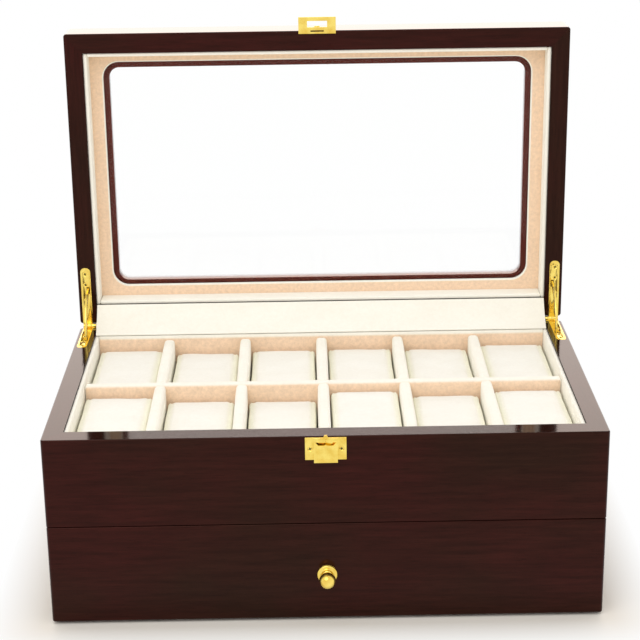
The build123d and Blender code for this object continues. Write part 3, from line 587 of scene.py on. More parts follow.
def lacquer(name, grain, window=None):
    """Dark red-brown lacquer over veneer whose grain runs along one axis, with painted light round a
    window's edge.
    """
    material, tree, surface, place = new_finish(
        name, IOR=1.6, Specular_Tint=(0.3, 0.15, 0.12, 1.0))
    along = [1.0 if axis == grain else 14.0 for axis in "XYZ"]
    clouded = [1.0 if axis == grain else 1.7 for axis in "XYZ"]
    cloud = pattern(tree, place, scale=9.0, stretch=clouded)
    streak = pattern(tree, place, scale=26.0, detail=5.0, stretch=along, roughness=0.65)
    pore = pattern(tree, place, scale=90.0, detail=4.0, stretch=along, roughness=0.7)
    tone = colours()
    stain = mix_colours(tree, ranged(tree, cloud, 0, 1, 0.36, 0.64), tone.lacquer_brown, tone.lacquer_red)
    stain = shaded(tree, stain, streak, 0.3, 0.72, (0.55,) * 3, (1.3,) * 3)
    stain = shaded(tree, stain, pore, 0.33, 0.46, (0.6, 0.55, 0.55), (1.0,) * 3)
    # Painted light: within 0.8 mm of the window opening the stain turns to the lighter red-brown.
    if window:
        fade = ranged(tree, outside_box(tree, place, *window), 0, 1, 0.0, 0.8 * MM)
        stain = mix_colours(tree, fade, tone.window_edge_lit, stain)
    feed(
        tree, surface, Base_Color=stain,
        Roughness=ranged(tree, pattern(tree, place, scale=30.0, detail=2.0), 0.05, 0.10),
        Normal=bumped(tree, pattern(tree, place, scale=55.0, detail=2.0, stretch=along), 0.03 * MM, 0.5))
    return material


def plain_wood(name, grain):
    """Bare light board, sanded, with its grain along one axis."""
    material, tree, surface, place = new_finish(name, IOR=1.45)
    along = [1.0 if axis == grain else 16.0 for axis in "XYZ"]
    figure = pattern(tree, place, scale=11.0, detail=6.0, stretch=along, roughness=0.62)
    fibre = pattern(tree, place, scale=70.0, detail=4.0, stretch=along, roughness=0.7)
    board = colours().plain_board
    tone = mix_colours(tree, ranged(tree, figure, 0, 1, 0.32, 0.68), 0.6 * board, board)
    tone = mix_colours(tree, 1.0, tone, mix_colours(tree, fibre, (0.78,) * 3, (1.12,) * 3), "MULTIPLY")
    feed(
        tree, surface, Base_Color=tone, Roughness=ranged(tree, fibre, 0.5, 0.75),
        Normal=bumped(tree, fibre, 0.12 * MM, 0.6))
    return material


def suede(name, first, second, contrast, nap=1.0):
    """Short napped suede in a lit tone and a painted shade of it, which its piece's own attribute mixes.
    """
    material, tree, surface, place = new_finish(
        name, Sheen_Weight=0.25, Sheen_Roughness=0.6, Sheen_Tint=(1.0, 0.98, 0.94, 1.0),
        Specular_IOR_Level=0.12)
    share = painted_share(tree)
    base = mix_colours(tree, share, first, second)
    mottle = pattern(tree, place, scale=420.0, detail=4.0, roughness=0.7)
    brushed = pattern(tree, place, scale=34.0, detail=2.0, stretch=(1.0, 2.2, 1.4))
    grain = pattern(tree, place, scale=2300.0, detail=2.0)
    spread = ranged(tree, mottle, 0, 1, 0.3, 0.7)
    fine = mix_colours(tree, spread, (0.97, 0.962, 0.95), (1.01,) * 3)
    strong = mix_colours(tree, spread, (1 - contrast,) * 3, (1 + 0.5 * contrast,) * 3)
    tone = mix_colours(tree, share, fine, strong)
    base = mix_colours(tree, 1.0, base, tone, "MULTIPLY")
    base = shaded(tree, base, brushed, 0.35, 0.65, (0.985, 0.98, 0.972), (1.005,) * 3)
    normal = bumped(tree, grain, 0.10 * MM * nap, 0.5)
    normal = bumped(tree, mottle, 0.22 * MM * nap, 0.5, normal)
    feed(tree, surface, Base_Color=base, Roughness=ranged(tree, mottle, 0.82, 0.98), Normal=normal)
    return material


def polished_metal(name, colour, polish, tarnish):
    """Polished metal with fine buffing marks, a little tarnish in random blots, and painted shade, nearly
    black, where its piece's attribute marks a hollow.
    """
    material, tree, surface, place = new_finish(name, Metallic=1.0)
    buff = pattern(tree, place, scale=520.0, stretch=(1.0, 7.0, 7.0))
    blot = pattern(tree, place, scale=160.0, detail=4.0)
    deep = tuple(value * share for value, share in zip(colour, tarnish))
    tone = mix_colours(tree, ranged(tree, blot, 0, 1, 0.3, 0.62), deep, colour)
    # Painted shade: nearly black where the piece's attribute marks a recess.
    tone = mix_colours(tree, painted_share(tree), tone, 0.12 * colour)
    feed(
        tree, surface, Base_Color=tone,
        Roughness=ranged(tree, buff, polish, polish + 0.12, 0.3, 0.7),
        Normal=bumped(tree, blot, 0.006 * MM, 0.3))
    return material


def clear_glass(name):
    """Clear window glass with a very slight unevenness."""
    material, tree, surface, place = new_finish(
        name, Transmission_Weight=1.0, IOR=1.5, Alpha=0.3, Base_Color=(0.985, 0.995, 0.99, 1.0))
    wave = pattern(tree, place, scale=14.0, detail=1.0)
    feed(
        tree, surface, Roughness=ranged(tree, wave, 0.0, 0.012),
        Normal=bumped(tree, wave, 0.02 * MM, 0.2))
    return material


def felt(name):
    """Dense dark felt with loose fibres."""
    material, tree, surface, place = new_finish(
        name, Sheen_Weight=0.5, Sheen_Roughness=0.5, Specular_IOR_Level=0.1)
    fibre = pattern(tree, place, scale=900.0, detail=5.0, roughness=0.8)
    dark = colours().felt
    feed(
        tree, surface, Base_Color=mix_colours(tree, fibre, dark, 2.2 * dark),
        Roughness=ranged(tree, fibre, 0.85, 1.0), Normal=bumped(tree, fibre, 0.3 * MM, 0.8))
    return material


def window_box():
    """The middle and half size of the space behind the lining's window, short of the lid's outside."""
    low, high = window_opening("lid_window_lining")
    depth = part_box("lid_top_frame")[1].y - low.y - 1.5 * MM
    return tuple((low + high) / 2), ((high.x - low.x) / 2, depth, (high.z - low.z) / 2)


FINISHES = {}
FINISH_MAKERS = {
    "lacquer_along_x": lambda name, tone: lacquer(name, "X"),
    "lacquer_along_y": lambda name, tone: lacquer(name, "Y"),
    "lacquer_along_z": lambda name, tone: lacquer(name, "Z"),
    "lacquer_round_window": lambda name, tone: lacquer(name, "X", window_box()),
    "board_along_x": lambda name, tone: plain_wood(name, "X"),
    "board_along_y": lambda name, tone: plain_wood(name, "Y"),
    "suede": lambda name, tone: suede(name, tone.suede_cream, tone.suede_peach, 0.14),
    "cushion_velvet": lambda name, tone: suede(name, tone.velvet_cream, tone.velvet_shaded_ends, 0.05, 0.8),
    "polished_brass": lambda name, tone: polished_metal(name, tone.brass, 0.07, (0.86, 0.74, 0.5)),
    "bright_steel": lambda name, tone: polished_metal(name, tone.steel, 0.2, (0.7, 0.7, 0.72)),
    "window_glass": lambda name, tone: clear_glass(name),
    "base_felt": lambda name, tone: felt(name),
}


def finish(name):
    """A finish by its name, made once."""
    if name not in FINISHES:
        FINISHES[name] = FINISH_MAKERS[name](name, colours())
    return FINISHES[name]


def paint_tone(piece, share):
    """Writes how far each point takes its finish's second tone, which is painted shade, from its place
    and its normal.
    """
    mesh = piece.data
    attribute = mesh.attributes.new(TONE_NAME, "FLOAT", "POINT")
    for vert, value in zip(mesh.vertices, attribute.data):
        value.value = share(vert.co, vert.normal)


def all_cream(co, normal):
    """No peach anywhere."""
    return 0.0


def shaded_front_and_back(co, normal):
    """Painted shade: peach on a board's tall faces that turn to the front or back, cream over its lit
    top.
    """
    return smooth_step((abs(normal.y) - 0.55) / 0.35)


# Pieces


class WATCHBOX_OT_boards(bpy.types.Operator):
    """Lacquer the case, the lid and the drawer front, and finish the plain boards"""

    bl_idname = "watch_box.boards"
    bl_label = "Boards"
    bl_options = {"REGISTER", "UNDO"}

    coats = {
        "lacquer_along_x": (
            "carcase_front_panel", "carcase_back", "drawer_front", "lid_front_rail", "lid_back_rail"),
        "lacquer_along_y": ("carcase_left_side", "carcase_right_side"),
        "lacquer_round_window": ("lid_top_frame",),
        "lacquer_along_z": ("lid_left_rail", "lid_right_rail"),
        "board_along_x": ("carcase_deck", "carcase_base", "drawer_back", "drawer_bottom"),
        "board_along_y": ("drawer_sides",),
    }

    def execute(self, context):
        for coat, names in self.coats.items():
            for name in names:
                finish_node(name, coat)
        return {"FINISHED"}


def suede_piece(name, bm, peach, smooth_angle=60):
    """Replaces a CAD node by a piece in cream suede that turns to a painted peach shade where a function
    says so.
    """
    paint_tone(stand_in(name, bm, "suede", smooth_angle), peach)


def lining_boards(name, ease, peach=all_cream, grid=BOARD_GRID):
    """Suede over each board of a lining node."""
    thinner = 0.3
    bm = bmesh.new()
    for low, high in solid_boxes(name):
        add_part(bm, soft_board(low, high, ease, thinner * sizes().padding, grid))
    suede_piece(name, bm, peach)


class WATCHBOX_OT_tray_lining(bpy.types.Operator):
    """Line the upper tray with suede"""

    bl_idname = "watch_box.tray_lining"
    bl_label = "Tray lining"
    bl_options = {"REGISTER", "UNDO"}

    def execute(self, context):
        size = sizes()
        lining_boards("tray_floor_lining", size.lining_ease)
        lining_boards("tray_wall_linings", size.lining_ease)
        band_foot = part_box("tray_back_lining")[1].z - size.cream_band
        band_blur, thin_ease, fine_grid = 1.2 * MM, 0.4 * size.lining_ease, 1.5 * MM

        # Painted shade: peach on the back lining's front and back faces below the cream band.
        def shaded_under_band(co, normal):
            below = smooth_step((band_foot - co.z) / band_blur + 0.5)
            return below * shaded_front_and_back(co, normal)

        lining_boards("tray_back_lining", thin_ease, shaded_under_band, fine_grid)
        return {"FINISHED"}


class WATCHBOX_OT_drawer_lining(bpy.types.Operator):
    """Line the drawer with suede"""

    bl_idname = "watch_box.drawer_lining"
    bl_label = "Drawer lining"
    bl_options = {"REGISTER", "UNDO"}

    def execute(self, context):
        ease = sizes().lining_ease
        lining_boards("drawer_floor_lining", ease)
        lining_boards("drawer_wall_linings", ease, shaded_front_and_back)
        return {"FINISHED"}


def divider_boards(place):
    """A padded long divider and its cross dividers, which butt against it from both sides."""
    size = sizes()
    long_name, cross_name = place + "_long_divider", place + "_cross_dividers"
    low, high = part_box(long_name)
    suede_piece(long_name, soft_board(low, high, size.divider_ease, size.padding), shaded_front_and_back)
    bm = bmesh.new()
    tuck = 0.6 * MM
    for cross_low, cross_high in solid_boxes(cross_name):
        front = Vector((cross_high.x, low.y + tuck, cross_high.z))
        back = Vector((cross_low.x, high.y - tuck, cross_low.z))
        add_part(bm, soft_board(cross_low, front, size.divider_ease, size.padding))
        add_part(bm, soft_board(back, cross_high, size.divider_ease, size.padding))
    suede_piece(cross_name, bm, all_cream)


class WATCHBOX_OT_dividers(bpy.types.Operator):
    """Pad the dividers of the tray and of the drawer"""

    bl_idname = "watch_box.dividers"
    bl_label = "Dividers"
    bl_options = {"REGISTER", "UNDO"}

    def execute(self, context):
        divider_boards("tray")
        divider_boards("drawer")
        return {"FINISHED"}


def pillow_blank(half_size):
    """The flat-sided cover of a cushion before it is stuffed."""
    rounding, steps = 0.1, 3
    bm = bmesh.new()
    bmesh.ops.create_cube(bm, size=2.0, matrix=Matrix.Diagonal((*half_size, 1.0)))
    bevel(bm, bm.edges[:], rounding * min(half_size), steps)
    return bm


def stuffed_pillow(half_size, variant):
    """A cushion at the pattern's scale, swollen by its stuffing, as points between -1 and 1."""
    size = sizes()
    slack, lump_scale, lump_height = 0.93, 7, 0.012
    piece = linked_object("pillow", pillow_blank(half_size * size.cushion_scale * slack))
    remesh = piece.modifiers.new("Cloth mesh", "REMESH")
    remesh.mode = "VOXEL"
    remesh.voxel_size = size.cushion_voxel
    blank = piece.data
    piece.data = applied(piece)
    piece.modifiers.remove(remesh)
    bpy.data.meshes.remove(blank)
    shift = Vector((17.3 * variant, 5.1, 2.7))
    for vert in piece.data.vertices:
        lump = noise.noise(vert.co * lump_scale + shift)
        vert.co += vert.normal * lump * lump_height
    rest = [vert.co.copy() for vert in piece.data.vertices]
    swell(piece, size.cushion_pressure)
    furthest = size.cushion_swell
    for vert, start in zip(piece.data.vertices, rest):
        move = vert.co - start
        if move.length > furthest:
            vert.co = start + move * (furthest / move.length)
    mesh = piece.data
    low, high = corners(mesh.vertices)
    for vert in mesh.vertices:
        unit = Vector([
            2 * (vert.co[axis] - low[axis]) / (high[axis] - low[axis]) - 1 for axis in range(3)])
        filled = unit / max(abs(value) for value in unit)
        vert.co = unit.lerp(filled, size.cushion_square)
    bpy.data.objects.remove(piece)
    return mesh


def swell(piece, pressure):
    """Lets the stuffing press the cloth out, and keeps the result."""
    first_frame, last_frame = 1, 20
    cloth = piece.modifiers.new("Stuffing", "CLOTH")
    cloth.settings.use_pressure = True
    cloth.settings.uniform_pressure_force = pressure
    cloth.settings.effector_weights.gravity = 0
    cloth.settings.quality = 6
    cloth.point_cache.frame_start = first_frame
    cloth.point_cache.frame_end = last_frame
    for number in range(first_frame, last_frame + 1):
        bpy.context.scene.frame_set(number)
    swollen = applied(piece)
    piece.modifiers.remove(cloth)
    piece.data = swollen
    bpy.context.scene.frame_set(first_frame)


def drawn_in(co):
    """Pulls a unit pillow in towards its sewn ends and crowns its top."""
    end_start, lean_in, end_in, lean_down, end_down, crown_fall = 0.84, 0.008, 0.02, 0.006, 0.012, 0.012
    end = smooth_step((abs(co.x) - end_start) / (1 - end_start))
    lean = abs(co.x) ** 2
    depth = 1 - lean_in * lean - end_in * end
    height = 1 - lean_down * lean - end_down * end
    crown = 1 - crown_fall * abs(co.y) ** 3
    top = (co.z + 1) * height * (crown if co.z > 0 else 1.0) - 1
    return Vector((co.x, co.y * depth, top))


def cushion_in(pillow, turned_round, name, low, high, body, node):
    """One cushion: the stuffed pillow fitted into its bay, with a sewn seam near each end and painted
    shade past each seam.
    """
    size = sizes()
    seam_spread, ends_start, ends_blur = 3, 0.74, 0.16
    bm = bmesh.new()
    bm.from_mesh(pillow)
    centre, half = (low + high) / 2, (high - low) / 2
    half.x += size.cushion_spread
    way = -1 if turned_round else 1
    for vert in bm.verts:
        shaped = drawn_in(Vector((way * vert.co.x, way * vert.co.y, vert.co.z)))
        vert.co = Vector([centre[axis] + shaped[axis] * half[axis] for axis in range(3)])
    bmesh.ops.smooth_vert(
        bm, verts=bm.verts[:], factor=0.5, use_axis_x=True, use_axis_y=True, use_axis_z=True)
    bmesh.ops.subdivide_edges(bm, edges=bm.edges[:], cuts=1, use_grid_fill=True, smooth=1.0)
    bm.normal_update()
    seam = size.seam_place * half.x
    for vert in bm.verts:
        apart = (abs(vert.co.x - centre.x) - seam) / size.seam_width
        if abs(apart) < seam_spread:
            vert.co -= vert.normal * size.seam_depth * math.exp(-apart * apart)
    piece = new_piece(name, bm, "cushion_velvet", body, [node], 80)

    # Painted shade: the velvet turns yellower past each seam, towards the cushion's ends.
    def shaded_past_seam(co, normal):
        return smooth_step((abs(co.x - centre.x) / half.x - ends_start) / ends_blur)

    paint_tone(piece, shaded_past_seam)


def stuff_cushions(bays, variants):
    """Fills each bay, given as a name, two corners, a body and a node, with one of a few pillows."""
    low, high = bays[0][1:3]
    pillows = [stuffed_pillow((high - low) / 2, variant) for variant in variants]
    for number, bay in enumerate(bays):
        cushion_in(pillows[number % len(pillows)], number % 4 > 1, *bay)
    for pillow in pillows:
        bpy.data.meshes.remove(pillow)


class WATCHBOX_OT_tray_cushions(bpy.types.Operator):
    """Stuff the twelve cushions of the upper tray"""

    bl_idname = "watch_box.tray_cushions"
    bl_label = "Tray cushions"
    bl_options = {"REGISTER", "UNDO"}

    def execute(self, context):
        names = sorted(name for name in NODES if name.startswith("tray_cushion_"))
        bays = [("visual_" + name, *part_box(name), NODES[name]["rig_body"], name) for name in names]
        stuff_cushions(bays, (0, 1, 2))
        return {"FINISHED"}


class WATCHBOX_OT_drawer_cushions(bpy.types.Operator):
    """Stuff the twelve cushions of the drawer"""

    bl_idname = "watch_box.drawer_cushions"
    bl_label = "Drawer cushions"
    bl_options = {"REGISTER", "UNDO"}

    def execute(self, context):
        bays = [
            (f"visual_drawer_cushion_{number:02d}", low, high, "drawer", "drawer_cushions")
            for number, (low, high) in enumerate(solid_boxes("drawer_cushions"), 1)]
        stuff_cushions(bays, (3, 4))
        return {"FINISHED"}


def rounded_loop(bm, centre, half_x, half_z, radius, y, steps=8):
    """The edges of a rounded rectangle that stands in a plane of constant Y."""
    place = Matrix.Translation((centre.x, y, centre.z)) @ UPRIGHT
    made = bmesh.ops.create_grid(
        bm, x_segments=1, y_segments=1, size=1.0, matrix=place @ Matrix.Diagonal((half_x, half_z, 1, 1)))
    bmesh.ops.bevel(
        bm, geom=made["verts"], offset=radius, offset_type="OFFSET", segments=steps, profile=0.5,
        affect="VERTICES", material=-1)
    edges = bm.edges[:]
    bmesh.ops.delete(bm, geom=bm.faces[:], context="FACES_ONLY")
    return edges


def framed(centre, half_x, half_z, radius, profile):
    """Carries a closed profile of (outward, y) points round a rounded opening."""
    bm = bmesh.new()
    edges = rounded_loop(bm, centre, half_x, half_z, radius, profile[0][1])
    for outward, y in profile[1:] + profile[:1]:
        made = bmesh.ops.extrude_edge_only(bm, edges=edges)["geom"]
        verts = [part for part in made if isinstance(part, bmesh.types.BMVert)]
        edges = [
            part for part in made
            if isinstance(part, bmesh.types.BMEdge) and all(vert in verts for vert in part.verts)]
        for vert in verts:
            away = vert.co - centre
            corner = Vector((
                math.copysign(half_x - radius, away.x), y - centre.y,
                math.copysign(half_z - radius, away.z)))
            ray = Vector((away.x - corner.x, 0, away.z - corner.z)).normalized()
            vert.co = centre + corner + ray * (radius + outward)
    bmesh.ops.remove_doubles(bm, verts=bm.verts[:], dist=MERGE_REACH)
    bmesh.ops.recalc_face_normals(bm, faces=bm.faces[:])
    return bm


class WATCHBOX_OT_lid_lining(bpy.types.Operator):
    """Line the lid, with a folded edge round its window"""

    bl_idname = "watch_box.lid_lining"
    bl_label = "Lid lining"
    bl_options = {"REGISTER", "UNDO"}

    def execute(self, context):
        size = sizes()
        lining_boards("lid_wall_linings", size.lining_ease)
        low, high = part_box("lid_window_lining")
        frame_low, frame_high = window_opening("lid_window_lining")
        frame_low.z += size.window_lift
        centre = (low + high) / 2
        centre.z = (frame_low.z + frame_high.z) / 2
        half_x = (frame_high.x - frame_low.x) / 2
        half_z = (frame_high.z - frame_low.z) / 2
        reach = min(high.x - centre.x - half_x, high.z - centre.z - half_z)
        fold = size.window_fold
        front, back = low.y, high.y
        profile = [(0.0, back), (0.0, front + 2 * fold)]
        profile += arc_points((fold, front + fold), fold, 180, 270, 4)
        bead = ((1.6, 0.12 * MM), (2.2, 0.02 * MM), (3.4, 0.0))
        profile += [(share * fold, front + set_back) for share, set_back in bead]
        profile += [(share * reach, front) for share in (0.3, 0.55, 0.8, 1.0)]
        profile += [(reach, back)]
        bm = framed(centre, half_x, half_z, size.window_corner, profile)
        square_outside(bm, centre, low, high, half_x + reach, half_z + reach, size.window_corner + reach)
        radius = size.window_corner
        fold_end, fold_blur = radius + 1.2 * fold, 0.5 * MM

        # Painted shade: peach on the window lining past its fold, where the panel faces the front; the
        # fold stays cream.
        def shaded_past_fold(co, normal):
            over_x = max(abs(co.x - centre.x) - half_x + radius, 0.0)
            over_z = max(abs(co.z - centre.z) - half_z + radius, 0.0)
            return smooth_step((math.hypot(over_x, over_z) - fold_end) / fold_blur + 0.5)

        suede_piece("lid_window_lining", bm, shaded_past_fold, 50)
        return {"FINISHED"}


def square_outside(bm, centre, low, high, reach_x, reach_z, radius):
    """Pushes the outermost loops of a frame out to square corners against the lid's walls."""
    near = 0.01 * MM
    for vert in bm.verts:
        away = vert.co - centre
        over_x, over_z = abs(away.x) - (reach_x - radius), abs(away.z) - (reach_z - radius)
        if over_x <= 0 and over_z <= 0:
            continue
        outer = abs(math.hypot(max(over_x, 0), max(over_z, 0)) - radius) < near
        if outer and over_x > 0 and over_z > 0:
            grow = radius / max(over_x, over_z)
            over_x, over_z = over_x * grow, over_z * grow
            vert.co.x = centre.x + math.copysign(reach_x - radius + over_x, away.x)
            vert.co.z = centre.z + math.copysign(reach_z - radius + over_z, away.z)
        if outer and over_x > radius - near:
            vert.co.x = high.x if away.x > 0 else low.x
        if outer and over_z > radius - near:
            vert.co.z = high.z if away.z > 0 else low.z


class WATCHBOX_OT_window_glass(bpy.types.Operator):
    """Glaze the lid's window"""

    bl_idname = "watch_box.window_glass"
    bl_label = "Window glass"
    bl_options = {"REGISTER", "UNDO"}

    def execute(self, context):
        finish_node("lid_glass", "window_glass")
        return {"FINISHED"}


class WATCHBOX_OT_hinge_flap(bpy.types.Operator):
    """Stretch the flap of suede over the gap along the hinges"""

    bl_idname = "watch_box.hinge_flap"
    bl_label = "Hinge flap"
    bl_options = {"REGISTER", "UNDO"}

    def execute(self, context):
        size = sizes()
        low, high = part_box("hinge_cover_flap")
        half_x = (high.x - low.x) / 2
        middle = (low.x + high.x) / 2
        front_lap, top_lap, ripple, spare = 0.2 * MM, 1.0 * MM, 0.25 * MM, 1.02
        start = Vector((0, low.y - front_lap, low.z + 0.5 * size.flap_thickness))
        end = Vector((0, high.y - 0.5 * size.flap_thickness, high.z + top_lap))
        across = Vector((0, end.z - start.z, start.y - end.y)).normalized()
        bm = bmesh.new()
        bmesh.ops.create_grid(bm, x_segments=90, y_segments=12, size=1.0)
        for vert in bm.verts:
            along = (vert.co.y + 1) / 2
            wave = noise.noise(Vector((vert.co.x * 9, along * 2, 3.0))) * ripple
            slackness = 4 * along * (1 - along)
            point = start.lerp(end, along) + across * slackness * (size.flap_sag + wave)
            vert.co = Vector((middle + vert.co.x * half_x, point.y, point.z))
        bmesh.ops.recalc_face_normals(bm, faces=bm.faces[:])
        bmesh.ops.solidify(bm, geom=bm.faces[:], thickness=size.flap_thickness)
        bmesh.ops.recalc_face_normals(bm, faces=bm.faces[:])
        bevel(bm, folded_edges(bm, SQUARE_FOLD), 0.25 * size.flap_thickness, 2)
        flap = new_piece(
            "visual_hinge_cover_flap", bm, "suede", None, ["hinge_cover_flap"], 60)
        paint_tone(flap, all_cream)
        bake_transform(flap)
        return {"FINISHED"}


class WATCHBOX_OT_hinges(bpy.types.Operator):
    """Polish the two hinges with their stay arms, pins and screws"""

    bl_idname = "watch_box.hinges"
    bl_label = "Hinges"
    bl_options = {"REGISTER", "UNDO"}

    def execute(self, context):
        for side in ("left", "right"):
            for name in ("hinge_carcase_leaf_", "hinge_lid_leaf_", "hinge_arm_"):
                brass_fitting(name + side)
        finish_node("hinge_pins", "polished_brass")
        fit_screws("hinge_carcase_screws", 2, 1)
        fit_screws("hinge_lid_screws", 1, -1)
        return {"FINISHED"}


class WATCHBOX_OT_catch(bpy.types.Operator):
    """Polish the catch on the front: its plate, lever, pin, screws and spring"""

    bl_idname = "watch_box.catch"
    bl_label = "Catch"
    bl_options = {"REGISTER", "UNDO"}

    def execute(self, context):
        brass_fitting("catch_base")
        brass_fitting("catch_lever")
        finish_node("catch_pin", "polished_brass")
        finish_node("catch_spring", "bright_steel")
        fit_screws("catch_screws", 1, -1)
        return {"FINISHED"}


class WATCHBOX_OT_strike(bpy.types.Operator):
    """Polish the strike plate on the lid and its screw"""

    bl_idname = "watch_box.strike"
    bl_label = "Strike"
    bl_options = {"REGISTER", "UNDO"}

    def execute(self, context):
        brass_fitting("strike_plate")
        finish_node("strike_screw", "polished_brass")
        return {"FINISHED"}


class WATCHBOX_OT_knob(bpy.types.Operator):
    """Turn the drawer's knob with its rosette"""

    bl_idname = "watch_box.knob"
    bl_label = "Drawer knob"
    bl_options = {"REGISTER", "UNDO"}

    def execute(self, context):
        low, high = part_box("drawer_knob")
        rosette = (high.x - low.x) / 2
        reach = high.y - low.y
        ball = 0.821 * rosette
        neck = 0.374 * rosette
        thick = 0.26 * rosette
        centre = reach - ball
        ring, hollow = 0.09 * rosette, 0.16 * rosette
        profile = [(0.0, 0.0), (rosette * 0.97, 0.0)]
        profile += arc_points((rosette - 0.5 * thick, 0.5 * thick), 0.5 * thick, -60, 80, 6)
        profile += arc_points((rosette * 0.62, thick * 1.02), ring, 20, 160, 5)
        profile += arc_points((neck + hollow, thick + hollow), hollow, 250, 180, 5)
        joint = math.degrees(math.asin(min(neck / ball, 1.0)))
        profile += arc_points((0.0, centre), ball, joint - 90, 84, 18)
        profile += [(0.0, reach)]
        bm = bmesh.new()
        turned(bm, profile, sizes().turning_steps)
        middle = (low + high) / 2
        bmesh.ops.transform(
            bm, matrix=Matrix.Translation((middle.x, high.y, middle.z)) @ UPRIGHT, verts=bm.verts[:])
        stand_in("drawer_knob", bm, "polished_brass", 35)
        finish_node("knob_screw", "bright_steel")
        return {"FINISHED"}


class WATCHBOX_OT_base_felt(bpy.types.Operator):
    """Lay the felt under the base"""

    bl_idname = "watch_box.base_felt"
    bl_label = "Base felt"
    bl_options = {"REGISTER", "UNDO"}

    def execute(self, context):
        finish_node("base_felt", "base_felt")
        return {"FINISHED"}


# Stage


def camera_rays(tree):
    """1 for rays that look, mirror or pass through glass, and 0 for rays that light."""
    rays = add_node(tree, "ShaderNodeLightPath").outputs
    seen = rays["Is Camera Ray"]
    for kind in ("Is Glossy Ray", "Is Transmission Ray"):
        seen = add_node(tree, "ShaderNodeMath", {0: seen, 1: rays[kind]}, operation="MAXIMUM").outputs[0]
    return seen


def mixed_shader(tree, share, first, second):
    """The output between two shaders' outputs."""
    first_socket, second_socket = 1, 2
    inputs = {0: share, first_socket: first.outputs[0], second_socket: second.outputs[0]}
    return add_node(tree, "ShaderNodeMixShader", inputs).outputs[0]


def soft_sky(level):
    """A white surround for the eye and for polished surfaces, and a softer one as light."""
    world = bpy.data.worlds.new("soft surround")
    bpy.context.scene.world = world
    world.use_nodes = True
    tree = world.node_tree
    tree.nodes.clear()
    seen = add_node(tree, "ShaderNodeBackground", {"Color": (1, 1, 1, 1), "Strength": 1.0})
    lighting = add_node(tree, "ShaderNodeBackground", {"Color": (1, 0.985, 0.96, 1), "Strength": level})
    both = mixed_shader(tree, camera_rays(tree), lighting, seen)
    add_node(tree, "ShaderNodeOutputWorld", {"Surface": both})


def pale_floor():
    """A pale floor that keeps the box's shadow near it and turns white further away."""
    material, tree, surface, place = new_finish("pale_floor", Roughness=0.6, Specular_IOR_Level=0.2)
    shadow_end, white_start = 6 * MM, 40 * MM
    pale = colours().floor
    cloud = pattern(tree, place, scale=3.0, detail=2.0)
    tone = mix_colours(tree, ranged(tree, cloud, 0, 1, 0.35, 0.65), 0.98 * pale, pale)
    feed(tree, surface, Base_Color=tone)
    white = add_node(tree, "ShaderNodeEmission", {"Color": (1, 1, 1, 1), "Strength": 1.0})
    low, high = cad_bounds
    foot = ((high.x - low.x) / 2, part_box("carcase_left_side")[1].y, high.z)
    far = ranged(tree, outside_box(tree, place, (0, 0, 0), foot), 0.0, 1.0, shadow_end, white_start)
    share = add_node(tree, "ShaderNodeMath", {0: far, 1: camera_rays(tree)}, operation="MULTIPLY")
    both = mixed_shader(tree, share.outputs[0], surface, white)
    tree.links.new(both, tree.nodes["Material Output"].inputs["Surface"])
    return material


def look_along(place, forward, up):
    """A matrix at a place that looks along a line."""
    right = forward.cross(up).normalized()
    top = right.cross(forward).normalized()
    turn = Matrix((right, top, -forward)).transposed().to_4x4()
    return Matrix.Translation(place) @ turn


def area_light(name, width, height, power, tint, matrix):
    """A soft lamp or a lit panel, shining along its own line of sight."""
    data = bpy.data.lights.new(name, "AREA")
    data.shape = "RECTANGLE" if height else "DISK"
    data.size = width
    if height:
        data.size_y = height
    data.energy = power
    data.color = tint
    light = bpy.data.objects.new(name, data)
    bpy.context.scene.collection.objects.link(light)
    light.matrix_world = matrix
    return light


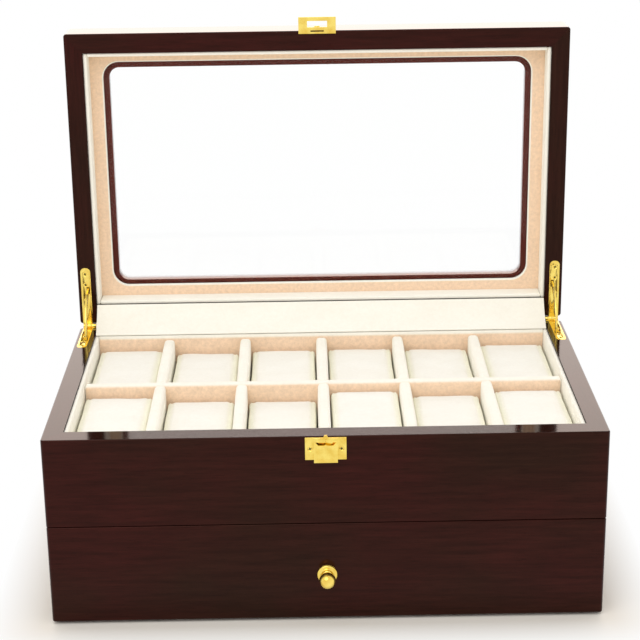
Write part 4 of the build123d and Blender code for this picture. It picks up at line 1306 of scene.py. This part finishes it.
class WATCHBOX_OT_stage(bpy.types.Operator):
    """Set the floor, the soft light and the camera"""

    bl_idname = "watch_box.stage"
    bl_label = "Stage"
    bl_options = {"REGISTER", "UNDO"}

    def execute(self, context):
        stage = context.scene.watch_box_stage
        up = Vector((0, 0, 1))
        bm = bmesh.new()
        bmesh.ops.create_grid(bm, x_segments=8, y_segments=8, size=3.0)
        floor = linked_object("floor", bm)
        floor.data.materials.append(pale_floor())
        soft_sky(stage.sky_level)
        lamp_place, lamp_target = Vector(stage.lamp_place), Vector((0, 0, 0.1))
        lamp_view = look_along(lamp_place, (lamp_target - lamp_place).normalized(), up)
        area_light(
            "soft lamp", stage.lamp_size, None, stage.lamp_power, (1.0, 0.985, 0.955), lamp_view)
        panel = area_light(
            "back panel", *stage.panel_size, stage.panel_power, stage.panel_tint,
            look_along(Vector(stage.panel_place), Vector((0, -1, 0)), up))
        panel.visible_camera = False
        panel.visible_transmission = False
        camera_data = bpy.data.cameras.new("camera")
        camera_data.lens = stage.lens
        camera_data.sensor_width = 36.0
        camera_data.sensor_fit = "HORIZONTAL"
        camera = bpy.data.objects.new("camera", camera_data)
        context.scene.collection.objects.link(camera)
        turn = (
            Matrix.Rotation(stage.camera_yaw, 4, "Z") @ Matrix.Rotation(stage.camera_pitch, 4, "X")
            @ Matrix.Rotation(stage.camera_roll, 4, "Y"))
        camera.matrix_world = look_along(
            Vector(stage.camera_place), turn @ Vector((0, 1, 0)), turn @ up)
        context.scene.camera = camera
        context.scene.view_settings.view_transform = "Standard"
        return {"FINISHED"}


STEPS = (
    WATCHBOX_OT_boards, WATCHBOX_OT_tray_lining, WATCHBOX_OT_drawer_lining, WATCHBOX_OT_dividers,
    WATCHBOX_OT_tray_cushions, WATCHBOX_OT_drawer_cushions, WATCHBOX_OT_lid_lining,
    WATCHBOX_OT_window_glass, WATCHBOX_OT_hinge_flap, WATCHBOX_OT_hinges, WATCHBOX_OT_catch,
    WATCHBOX_OT_strike, WATCHBOX_OT_knob, WATCHBOX_OT_base_felt, WATCHBOX_OT_stage)


class WATCHBOX_PT_pieces(bpy.types.Panel):
    """Lists the box's pieces in the order in which they are made"""

    bl_idname = "WATCHBOX_PT_pieces"
    bl_label = "Watch Box"
    bl_space_type = "VIEW_3D"
    bl_region_type = "UI"
    bl_category = "Watch Box"

    def draw(self, context):
        for step in STEPS:
            self.layout.operator(step.bl_idname)


CLASSES = (WatchBoxSizes, WatchBoxColours, WatchBoxStage, *STEPS, WATCHBOX_PT_pieces)


def register():
    for cls in CLASSES:
        bpy.utils.register_class(cls)
    bpy.types.Scene.watch_box_sizes = PointerProperty(type=WatchBoxSizes)
    bpy.types.Scene.watch_box_colours = PointerProperty(type=WatchBoxColours)
    bpy.types.Scene.watch_box_stage = PointerProperty(type=WatchBoxStage)


def unregister():
    for group in ("watch_box_sizes", "watch_box_colours", "watch_box_stage"):
        delattr(bpy.types.Scene, group)
    for cls in reversed(CLASSES):
        bpy.utils.unregister_class(cls)


def main():
    register()
    for step in STEPS:
        getattr(bpy.ops.watch_box, step.bl_idname.split(".")[1])()


if __name__ == "__main__":
    main()
